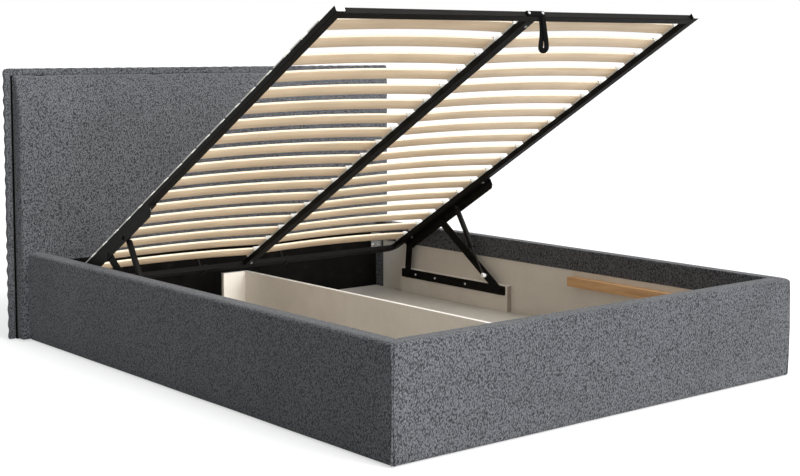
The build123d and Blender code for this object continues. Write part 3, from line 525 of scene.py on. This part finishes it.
def choose(piece, kind, test):
    """Select the vertices, edges or faces that pass the test, and nothing else."""
    mesh = piece.data
    for items in (mesh.vertices, mesh.edges, mesh.polygons):
        items.foreach_set("select", [False] * len(items))
    items = {"VERT": mesh.vertices, "EDGE": mesh.edges, "FACE": mesh.polygons}[kind]
    for item in items:
        item.select = bool(test(item))
    bpy.context.tool_settings.mesh_select_mode = (kind == "VERT", kind == "EDGE", kind == "FACE")


def shape(piece, kind, test, operator, **settings):
    """Run one edit-mode operator on what the test selects."""
    activate(piece)
    choose(piece, kind, test)
    bpy.ops.object.mode_set(mode="EDIT")
    operator(**settings)
    bpy.ops.object.mode_set(mode="OBJECT")


def everything(item):
    return True


def cut(piece, place, normal, clear=False):
    """Bisect the whole mesh; with clear the part beyond the plane is taken away and the cut closed."""
    settings = {"plane_co": place, "plane_no": normal, "use_fill": clear, "clear_outer": clear}
    shape(piece, "FACE", everything, bpy.ops.mesh.bisect, **settings)


def extrude(piece, test, move):
    shape(piece, "FACE", test, bpy.ops.mesh.extrude_region_move, TRANSFORM_OT_translate={"value": move})


def bevel_edges(piece, test, width, segments):
    shape(piece, "EDGE", test, bpy.ops.mesh.bevel, offset=width, segments=segments, profile=0.5)


def divide(piece, test, cuts):
    shape(piece, "EDGE", test, bpy.ops.mesh.subdivide, number_cuts=cuts)


def edge_test(piece, test):
    """A test on an edge's two end points."""
    vertices = piece.data.vertices
    return lambda edge: test(*(vertices[index].co for index in edge.vertices))


def apply_modifier(piece, kind, **settings):
    activate(piece)
    modifier = piece.modifiers.new(kind.lower(), kind)
    for name, value in settings.items():
        setattr(modifier, name, value)
    bpy.ops.object.modifier_apply(modifier=modifier.name)


def smooth(piece, angle=40.0):
    activate(piece)
    bpy.ops.object.shade_smooth_by_angle(angle=math.radians(angle))


def merged(name, pieces):
    """Join pieces into one object under the first one's place."""
    bpy.ops.object.select_all(action="DESELECT")
    for piece in pieces:
        piece.select_set(True)
    bpy.context.view_layer.objects.active = pieces[0]
    bpy.ops.object.join()
    return added(name)


def copied(piece, matrix):
    """A copy with its own mesh, moved by a matrix; a mirrored copy has its faces turned outwards again."""
    copy = piece.copy()
    copy.data = piece.data.copy()
    bpy.context.collection.objects.link(copy)
    copy.data.transform(matrix)
    if matrix.determinant() < 0:
        copy.data.flip_normals()
    return copy


def removed(piece):
    bpy.data.objects.remove(piece)


def dress(piece, material):
    """Give the whole piece one material."""
    piece.data.materials.clear()
    piece.data.materials.append(material)


def finished(piece, body, slot, material, *nodes):
    """Put a piece on its body in its material and hide the nodes it stands for. The slot is not used."""
    dress(piece, material)
    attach(piece, body)
    if nodes:
        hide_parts(*nodes)
    return piece


MIRROR = Matrix.Scale(-1, 4, (1, 0, 0))


# Padded covers of the rails and the foot panel
def cover_blank(name, length, height, low):
    """A straight cover in its own place: x inwards from the outer face, y along it, z up."""
    top = low + height
    inner = COVER + BOARD
    piece = add_box(name, (0, 0, low), (COVER, length, top))
    cut(piece, (0, 0, top - TOP_PAD), (0, 0, 1))
    extrude(piece, lambda face: face.normal.x > 0.9 and face.center.z > top - TOP_PAD, (BOARD, 0, 0))
    extrude(piece, lambda face: face.normal.x > 0.9 and face.center.x > COVER + MM, (WRAP, 0, 0))
    drop = (0, 0, TOP_PAD - TURN_IN)
    extrude(piece, lambda face: face.normal.z < -0.9 and face.center.x > inner, drop)

    def lengthwise(x, z):
        def test(first, second):
            middle = (first + second) / 2
            along = abs(first.y - second.y) > length / 2
            return along and abs(middle.x - x) < MM / 2 and abs(middle.z - z) < MM / 2
        return edge_test(piece, test)

    bevel_edges(piece, lengthwise(0, top), COVER_TOP_ROUND, 6)
    bevel_edges(piece, lengthwise(0, low), COVER_FOOT_ROUND, 4)
    bevel_edges(piece, lengthwise(inner + WRAP, top), COVER_INNER_ROUND, 3)
    divide(piece, edge_test(piece, lambda a, b: abs(a.y - b.y) > length / 2), round(length / COVER_CELL))
    tall = top - low - COVER_TOP_ROUND - COVER_FOOT_ROUND - TOP_PAD
    divide(piece, edge_test(piece, lambda a, b: abs(a.z - b.z) > 0.7 * tall), COVER_ROW_CUTS)
    return piece


def mitred(piece, start, side):
    """Cut the cover at a foot corner; side is 1 at the y = start end and -1 at the far end."""
    for share in SEAM_CUTS:
        cut(piece, (0, start + side * (SEAM_GAP + share * SEAM_REACH), 0), (1, -side, 0))
    cut(piece, (0, start + side * SEAM_GAP, 0), (1, -side, 0), clear=True)


def soften(piece, low, high, corners, seed):
    """Crown the outer face, pull it in towards the seams and lay slow waves over it."""
    middle = (low + high) / 2
    half = (high - low) / 2
    for vertex in piece.data.vertices:
        x, y, z = vertex.co
        outer = max(0.0, 1.0 - x / COVER)
        height = (z - middle) / half
        crown = COVER_CROWN * height * height * outer
        place = Vector((x * COVER_WAVES[0], y * COVER_WAVES[1] + seed, z * COVER_WAVES[2]))
        wave = SOFTNESS * noise.noise(place) + 0.5 * SOFTNESS * noise.noise(place * FINER_WAVES)
        dip = 0.0
        for corner in corners:
            near = abs(y - corner) - x
            if near < SEAM_REACH:
                dip = max(dip, SEAM_DIP * (1.0 - max(near, 0.0) / SEAM_REACH) ** 2)
        pucker = dip * PUCKER_SHARE * noise.noise(Vector((seed, 0, z * PUCKER_SCALE)))
        vertex.co.x = x + (crown + wave + dip + pucker) * outer
        if z > high - COVER_TOP_ROUND:
            vertex.co.z = z - SEAM_SINK * dip


def covers(finishes):
    """The rails' covers, one mirrored from the other, and the foot panel's cover."""
    low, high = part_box("rail_cover_right")
    height = high.z - low.z
    half = high.x
    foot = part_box("foot_cover")[0].y

    rail = cover_blank("rail_upholstery_right", high.y - foot, height, low.z)
    mitred(rail, 0.0, 1)
    strip_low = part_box("floor_board_right")[1].z
    strip_high = high.z - TURN_IN
    soften(rail, low.z, high.z, [0.0], 3.0)
    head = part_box("head_liner")[1].y - foot
    inner = COVER + BOARD
    strip = add_box("head_strip", (inner, head - HEAD_STRIP, strip_low), (inner + WRAP, head, strip_high))
    rail = merged("rail_upholstery_right", [rail, strip])
    into_right = Matrix(((-1, 0, 0, half), (0, 1, 0, foot), (0, 0, 1, 0), (0, 0, 0, 1)))
    right = copied(rail, into_right)
    left = copied(rail, MIRROR @ into_right)
    removed(rail)

    width = 2 * half
    panel = cover_blank("foot_upholstery", width, height, low.z)
    mitred(panel, 0.0, 1)
    mitred(panel, width, -1)
    soften(panel, low.z, high.z, [0.0, width], 9.0)
    into_foot = Matrix(((0, 1, 0, -half), (1, 0, 0, foot), (0, 0, 1, 0), (0, 0, 0, 1)))
    front = copied(panel, into_foot)
    removed(panel)

    rows = [
        (right, "rail_upholstery_right", "rail_cover_right"),
        (left, "rail_upholstery_left", "rail_cover_left"),
        (front, "foot_upholstery", "foot_cover"),
    ]
    for piece, name, node in rows:
        piece.name = name
        smooth(piece)
        finished(piece, "root", "boucle", finishes["boucle"], node)


# Headboard
def pressed(piece, pinned, pressure, cap):
    """Blow a grid up a little with cloth pressure; no point moves further than the cap."""
    start = [vertex.co.copy() for vertex in piece.data.vertices]
    held = piece.vertex_groups.new(name="held")
    held.add([v.index for v in piece.data.vertices if pinned(v.co)], 1.0, "REPLACE")
    activate(piece)
    modifier = piece.modifiers.new("cloth", "CLOTH")
    cloth = modifier.settings
    for name, value in PAD_CLOTH.items():
        setattr(cloth, name, value)
    cloth.uniform_pressure_force = pressure
    cloth.vertex_group_mass = "held"
    cloth.effector_weights.gravity = 0.0
    modifier.collision_settings.use_collision = False
    scene = bpy.context.scene
    for step in range(1, PAD_STEPS + 1):
        scene.frame_set(step)
    bpy.ops.object.modifier_apply(modifier=modifier.name)
    scene.frame_set(1)
    for vertex, old in zip(piece.data.vertices, start):
        move = vertex.co - old
        if move.length > cap:
            vertex.co = old + move.normalized() * cap
    piece.vertex_groups.clear()


def upholstered(place, low, high):
    """The pad's fullness: thin at the top seam, pulled in along the seams, with slow waves over the front."""
    depth = (high.y - place.y) / (high.y - low.y)
    wave = SOFTNESS * (noise.noise(place * PAD_WAVES[0]) + 0.5 * noise.noise(place * PAD_WAVES[1]))
    below = min(1.0, max(0.0, (high.z - place.z) / PAD_TAPER))
    full = PAD_TOP_SHARE + (1.0 - PAD_TOP_SHARE) * math.sin(math.pi / 2 * below)
    y = high.y - (high.y - place.y) * full + depth * wave
    seam = max(0.0, 1.0 - 4.0 * depth)
    beside = math.copysign(PAD_SEAM * seam, place.x) if abs(place.x) > high.x - PAD_ROUND else 0.0
    dash = 0.0
    if place.z > high.z - 2 * MM:
        dash = max(0.0, noise.noise(Vector((place.x * PAD_DASH_SCALE, 4.0, 0.0))) - PAD_DASH_FROM)
    return Vector((place.x - beside, y, place.z - min(1.0, 5.0 * dash) * PAD_DASH))


def headboard_pad(finishes):
    """The padded front: crowned by cloth pressure, but flat behind the cloth-covered board."""
    low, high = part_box("headboard_pad")
    high.z += PAD_OVERLAP
    piece = add_box("headboard_padding", low, high)

    def front_edge(first, second):
        at_front = max(first.y, second.y) < low.y + MM
        return at_front and max(first.z, second.z) > low.z + MM

    bevel_edges(piece, edge_test(piece, front_edge), PAD_ROUND, 4)
    for back in PAD_BACK_CUTS:
        cut(piece, (0, high.y - back, 0), (0, 1, 0))
    inset = PAD_ROUND + MM
    columns = round((high.x - low.x - 2 * inset) / PAD_CELL)
    rows = round((high.z - low.z - inset) / PAD_CELL)
    wide = 0.8 * (high.x - low.x)
    tall = 0.8 * (high.z - low.z)
    divide(piece, edge_test(piece, lambda a, b: abs(a.x - b.x) > wide), columns)
    divide(piece, edge_test(piece, lambda a, b: abs(a.z - b.z) > tall), rows)
    pinned = lambda place: place.y > high.y - 4 * MM or place.z < low.z + MM
    pressed(piece, pinned, PAD_PRESSURE, PAD_CAP)
    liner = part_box("head_liner")[1]
    for vertex in piece.data.vertices:
        place = upholstered(vertex.co.copy(), low, high)
        clear = max(place.z - liner.z, abs(place.x) - liner.x) / PAD_HELD
        front = low.y + PAD_GAP - PAD_FREE * min(1.0, max(0.0, clear))
        vertex.co = Vector((place.x, max(place.y, front), place.z))
    apply_modifier(piece, "SUBSURF", levels=1, render_levels=1)
    smooth(piece)
    finished(piece, "root", "boucle", finishes["boucle"], "headboard_pad")


def frame_point(half, top, corner, turn):
    """A point on a rounded frame open at the floor; turn goes from 0 at its left foot to 5 at its right."""
    if turn > 2.5:
        place = frame_point(half, top, corner, 5.0 - turn)
        return Vector((-place.x, 0, place.z))
    if turn > 2.0:
        return Vector(((turn - 2.5) * 2 * (half - corner), 0, top))
    if turn > 1.0:
        angle = math.pi - (turn - 1.0) * math.pi / 2
        return Vector((corner - half + corner * math.cos(angle), 0, top - corner + corner * math.sin(angle)))
    return Vector((-half, 0, turn * (top - corner)))


def headboard_flange(finishes):
    """The double edge of cloth round the headboard, gathered into slow waves by its seam."""
    low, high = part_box("headboard_flange")
    core_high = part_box("headboard_board")[1]
    thickness = high.y - low.y + FLANGE_FULL
    middle = (low.y + high.y + FLANGE_FULL) / 2
    top = high.z - low.z
    rise = top - FLANGE_CORNER
    bend = FLANGE_CORNER * math.pi / 2
    lengths = [rise, bend, 2 * (high.x - FLANGE_CORNER), bend, rise]
    total = sum(lengths)
    piece = add_box("headboard_flange_cloth", (0, -0.5, 0), (1, 0.5, 1))
    outer_edge = edge_test(piece, lambda a, b: min(a.x, b.x) > 0.5 and abs(a.z - b.z) > 0.5)
    bevel_edges(piece, outer_edge, FLANGE_ROUND_SHARE, 3)
    divide(piece, edge_test(piece, lambda a, b: abs(a.x - b.x) > 0.5), 3)
    for cuts in FLANGE_CUTS:
        divide(piece, edge_test(piece, lambda a, b: abs(a.z - b.z) > 0.04), cuts)
    for vertex in piece.data.vertices:
        share, across = vertex.co.x, vertex.co.y
        distance = min(1.0, max(0.0, vertex.co.z)) * total
        turn, left = 0, distance
        while turn < 4 and left > lengths[turn]:
            left -= lengths[turn]
            turn += 1
        turn += left / lengths[turn]
        root = frame_point(core_high.x + FLANGE_ROOT, core_high.z - low.z, 0.5 * MM, turn)
        edge = frame_point(high.x, top, FLANGE_CORNER, turn)
        out = (edge - root).normalized()
        drift = FLANGE_DRIFT[0] * noise.noise(Vector((distance * FLANGE_DRIFT[1], 0, 0)))
        phase = distance / FLANGE_WAVE * 2 * math.pi + drift
        slack = FLANGE_SWAY * share * (FLANGE_TOP_SHARE if 1.5 < turn < 3.5 else 1.0)
        slack *= FLANGE_VARIES[0] + noise.noise(Vector((distance * FLANGE_VARIES[1], 2.0, 0)))
        place = root.lerp(edge, share) + out * slack * math.sin(phase)
        sway = 0.5 * slack * math.sin(phase - FLANGE_LAG)
        vertex.co = Vector((place.x, middle + across * thickness + sway, place.z + low.z))
    apply_modifier(piece, "SUBSURF", levels=1, render_levels=1)
    smooth(piece, 60.0)
    finished(piece, "root", "boucle", finishes["boucle"], "headboard_flange")


# Slats
def slat_pieces(finishes):
    """One cambered slat with rounded edges, copied along both columns."""
    half_width = SLAT_WIDTH / 2
    slat = add_box("slat", (SLAT_INNER_END, -half_width, 0), (SLAT_OUTER_END, half_width, SLAT_THICKNESS))
    divide(slat, edge_test(slat, lambda a, b: abs(a.x - b.x) > SLAT_WIDTH), SLAT_CUTS)
    long_edge = edge_test(slat, lambda a, b: abs(a.y - b.y) < MM and abs(a.z - b.z) < MM)
    bevel_edges(slat, long_edge, SLAT_EDGE, 2)
    layer = slat.data.attributes.new("layer", "FLOAT", "POINT")
    side = slat.data.attributes.new("side", "FLOAT", "POINT")
    middle = (SLAT_INNER_END + SLAT_OUTER_END) / 2
    half = (SLAT_OUTER_END - SLAT_INNER_END) / 2
    for index, vertex in enumerate(slat.data.vertices):
        layer.data[index].value = vertex.co.z / SLAT_THICKNESS
        side.data[index].value = 1.0 if abs(vertex.co.y) > half_width - SLAT_EDGE / 2 else 0.0
        share = (vertex.co.x - middle) / half
        vertex.co.z += SLAT_LOW + SLAT_RISE * (1.0 - share * share)
    smooth(slat, 50.0)
    opened = Matrix.Translation(HEAD_END) @ Matrix.Rotation(-TILT, 4, "X")
    for name, flip in (("right", Matrix.Identity(4)), ("left", MIRROR)):
        row = []
        for place in range(SLATS):
            along = Matrix.Translation((0, -(FIRST_SLAT + SLAT_PITCH * place), 0))
            row.append(copied(slat, opened @ along @ flip))
        piece = merged(f"birch_slats_{name}", row)
        finished(piece, "slatted_base", "slat_wood", finishes["slat_wood"], f"slats_{name}")
    removed(slat)


# Pull strap
def hanging(place):
    """Where a point of the flat strap hangs: its two strands cross over towards the clamp."""
    drop = -place.z / STRAP_LENGTH
    open_part = min(1.0, max(0.0, (drop - STRAP_OPENS[0]) / STRAP_OPENS[1]))
    open_part = open_part * open_part * (3.0 - 2.0 * open_part)
    side = 1.0 if place.x > 0 else -1.0
    squeeze = (STRAP_BAND / 2 - STRAP_CROSSING) * (1.0 - open_part)
    x = place.x - side * squeeze - STRAP_LEAN * (1.0 - drop) ** 2
    step = STRAP_LAYER * (1.0 - open_part)
    bow = STRAP_BOW * math.sin(math.pi * drop)
    twist = -STRAP_TWIST * drop
    pinch = min(1.0, STRAP_PINCH[0] + STRAP_PINCH[1] * drop)
    y = (place.y - step * side * 0.5) * pinch - bow
    return Vector((x * math.cos(twist), y + x * math.sin(twist), place.z))


def pull_strap(finishes):
    """One band of webbing turned back on itself, sewn under the clamp plate."""
    low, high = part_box("strap")
    inner, outer = STRAP_GAP / 2, STRAP_GAP / 2 + STRAP_BAND
    turn = -(STRAP_LENGTH - outer)
    band = add_box("pull_strap", (-outer, -STRAP_THICKNESS / 2, turn), (-inner, STRAP_THICKNESS / 2, 0))
    down = lambda face: face.normal.z < -0.9
    turning = {"angle": math.pi, "center": (0, 0, turn), "axis": (0, 1, 0), "dupli": False}
    shape(band, "FACE", down, bpy.ops.mesh.spin, steps=STRAP_TURN_STEPS, **turning)
    shape(band, "VERT", everything, bpy.ops.mesh.remove_doubles, threshold=0.05 * MM)
    end = lambda face: face.normal.z > 0.5 and face.center.x > 0 and abs(face.center.z - turn) < MM
    extrude(band, end, (0, 0, -turn))
    long_edge = edge_test(band, lambda a, b: abs(a.z - b.z) > 0.9 * abs(turn))
    divide(band, long_edge, STRAP_CUTS)
    shape(band, "FACE", everything, bpy.ops.mesh.normals_make_consistent, inside=False)
    for vertex in band.data.vertices:
        vertex.co = hanging(vertex.co.copy())
    apply_modifier(band, "BEVEL", width=STRAP_EDGE, segments=2, limit_method="ANGLE")
    top = high.z - STRAP_THICKNESS / 2 - STRAP_CLEAR
    band.data.transform(Matrix.Translation((STRAP_PLACE, (low.y + high.y) / 2, top)))
    smooth(band, 50.0)
    finished(band, "strap", "webbing", finishes["webbing"], "strap")


# Gas struts
def round_bar(name, radius, start, end, edge):
    """A round bar along z with softened ends."""
    middle = (0, 0, (start + end) / 2)
    settings = {"vertices": BAR_SIDES, "radius": radius, "depth": end - start, "location": middle}
    bpy.ops.mesh.primitive_cylinder_add(**settings)
    bar = added(name)
    settle(bar)
    apply_modifier(bar, "BEVEL", width=edge, segments=3, limit_method="ANGLE", angle_limit=math.radians(40))
    return bar


def strut_tubes(finishes):
    """Each strut's painted cylinder from its upper socket down to the wider cap of its gland."""
    joints = {joint["name"]: joint for joint in frame["record"]["behaviour"]["joints"]}
    for side in ("left", "right"):
        top = Vector(joints[f"strut_turn_{side}"]["pos_m"])
        way = -Vector(joints[f"strut_stroke_{side}"]["axis"]).normalized()
        tube = round_bar(f"strut_tube_{side}", TUBE_RADIUS, TUBE_START, TUBE_END, TUBE_EDGE)
        neck = round_bar("neck", NECK_RADIUS, 0, TUBE_START + MM, NECK_EDGE)
        cap = round_bar("cap", CAP_RADIUS, TUBE_END - CAP_LENGTH, TUBE_END + CAP_LIP, CAP_EDGE)
        socket = round_bar("socket", SOCKET_RADIUS, -SOCKET_RADIUS, SOCKET_RADIUS, SOCKET_EDGE)
        socket.data.transform(Matrix.Rotation(math.pi / 2, 4, "Y"))
        strut = merged(f"strut_tube_{side}", [tube, neck, cap, socket])
        across = Vector((1, 0, 0))
        turn = Matrix((across, way.cross(across), way)).transposed().to_4x4()
        strut.data.transform(Matrix.Translation(top) @ turn)
        smooth(strut)
        cylinder = f"strut_cylinder_{side}"
        finished(strut, cylinder, "black_steel", finishes["black_steel"], cylinder)


# Carried-over parts
def dress_frame(finishes):
    """Give each node that stays its finish, by the record's material slot."""
    for part in frame["record"]["subparts"]:
        node = frame["nodes"][part["node"]]
        if not node.hide_render:
            dress(node, finishes[part["material_slot"]])
    dress(frame["nodes"]["divider"], finishes["banded_board"])
    dress(frame["nodes"]["divider_end_plate"], finishes["banded_board"])
    dress(frame["nodes"]["headboard_board"], finishes["backing"])
    for side in ("left", "right"):
        dress(frame["nodes"][f"floor_board_{side}"], finishes["floor_panel"])
        dress(frame["nodes"][f"spacer_board_{side}"], finishes["spacer"])
    dress(frame["nodes"]["strap_plate"], finishes["webbing"])
    dress(frame["nodes"]["base_screws"], finishes["bright_zinc"])


def all_finishes():
    pine = [(0.30, (0.36, 0.185, 0.075)), (0.55, (0.52, 0.30, 0.135)), (0.78, (0.62, 0.39, 0.20))]
    divider_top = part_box("divider")[1].z
    spacer_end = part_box("spacer_board_left")[0].y
    socket_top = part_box("strut_rod_left")[0].z + ROD_SOCKET
    return {
        "boucle": boucle_finish(),
        "backing": backing_finish(),
        # One beige melamine in lit and shaded copies: 0.93 on the boards and 0.58 on the floor boards are
        # painted shade, 1.20 on the divider is painted light.
        "board": board_finish("beige_melamine", 0.93),
        "banded_board": board_finish("beige_melamine_banded_painted_light", 1.20, divider_top - 0.5 * MM),
        "spacer": board_finish("beige_melamine_spacer", end=spacer_end + 0.5 * MM),
        "floor_panel": board_finish("beige_melamine_painted_shade", 0.58),
        "core": chipboard_finish(),
        "softwood": grain_finish("planed_pine", pine, (0, 0, 0), (30.0, 1.6, 30.0), 0.55, 0.8),
        "slat_wood": slat_finish(),
        "black_steel": steel_finish(),
        "zinc": metal_finish("zinc_plate", (0.74, 0.75, 0.76), 0.3),
        "bright_zinc": metal_finish("bright_zinc", (0.95, 0.95, 0.95), 0.4),
        "rod_steel": rod_finish(socket_top),
        "holder_plastic": plastic_finish("pale_plastic", (0.74, 0.72, 0.66), 0.45),
        "cap_plastic": plastic_finish("white_plastic", (0.80, 0.80, 0.78), 0.4),
        "glide_felt": plastic_finish("glide", (0.03, 0.03, 0.03), 0.8),
        "webbing": webbing_finish(),
    }


# Studio
def make_floor():
    """A white sheet that keeps the bed's shadow."""
    bpy.ops.mesh.primitive_plane_add(size=FLOOR_SIZE)
    floor = added("studio_floor")
    finish = Finish("floor_paper", 0.9)
    finish.shader.inputs["Specular IOR Level"].default_value = 0.0
    finish.colour(grey(FLOOR_TONE))
    seen = finish.add("ShaderNodeLightPath").outputs["Is Camera Ray"]
    finish.shader.inputs["Emission Color"].default_value = (1.0, 1.0, 1.0, 1.0)
    glow = finish.math("MULTIPLY", seen, FLOOR_GLOW)
    finish.tree.links.new(glow, finish.shader.inputs["Emission Strength"])
    dress(floor, finish.material)


def make_world():
    """Even grey light, seen as white by the camera and in reflections."""
    world = bpy.data.worlds.new("studio")
    bpy.context.scene.world = world
    world.use_nodes = True
    tree = world.node_tree
    room = tree.nodes["Background"]
    room.inputs["Color"].default_value = ROOM_TONE
    room.inputs["Strength"].default_value = ROOM_LIGHT
    white = tree.nodes.new("ShaderNodeBackground")
    white.inputs["Color"].default_value = (1.0, 1.0, 1.0, 1.0)
    white.inputs["Strength"].default_value = 1.0
    path = tree.nodes.new("ShaderNodeLightPath")
    seen = path.outputs["Is Camera Ray"]
    for name in ("Is Glossy Ray", "Is Transmission Ray"):
        either = tree.nodes.new("ShaderNodeMath")
        either.operation = "MAXIMUM"
        tree.links.new(seen, either.inputs[0])
        tree.links.new(path.outputs[name], either.inputs[1])
        seen = either.outputs["Value"]
    mix = tree.nodes.new("ShaderNodeMixShader")
    tree.links.new(seen, mix.inputs["Fac"])
    tree.links.new(room.outputs["Background"], mix.inputs[1])
    tree.links.new(white.outputs["Background"], mix.inputs[2])
    tree.links.new(mix.outputs["Shader"], tree.nodes["World Output"].inputs["Surface"])


def make_lamp(name, source, strength, spread):
    """A very distant soft lamp that shines from the given direction."""
    bpy.ops.object.light_add(type="SUN", location=Vector(source) * LAMP_DISTANCE)
    lamp = bpy.context.object
    lamp.name = name
    lamp.data.energy = strength
    lamp.data.angle = spread
    lamp.rotation_euler = (-Vector(source)).to_track_quat("-Z", "Y").to_euler()


def make_camera():
    """The photograph's view."""
    bpy.ops.object.camera_add(location=CAMERA_PLACE)
    camera = bpy.context.object
    camera.rotation_euler = (math.pi / 2 - CAMERA_PITCH, 0, -CAMERA_YAW)
    camera.data.lens = CAMERA_LENS
    camera.data.sensor_width = CAMERA_SENSOR
    camera.data.sensor_fit = "HORIZONTAL"
    camera.data.shift_y = CAMERA_SHIFT
    camera.data.clip_end = CAMERA_REACH
    bpy.context.scene.camera = camera


bpy.context.scene.view_settings.view_transform = "Standard"
finishes = all_finishes()
covers(finishes)
headboard_pad(finishes)
headboard_flange(finishes)
slat_pieces(finishes)
pull_strap(finishes)
strut_tubes(finishes)
dress_frame(finishes)
make_floor()
make_world()
for name, (source, strength, spread) in LAMPS.items():
    make_lamp(name, source, strength, spread)
make_camera()
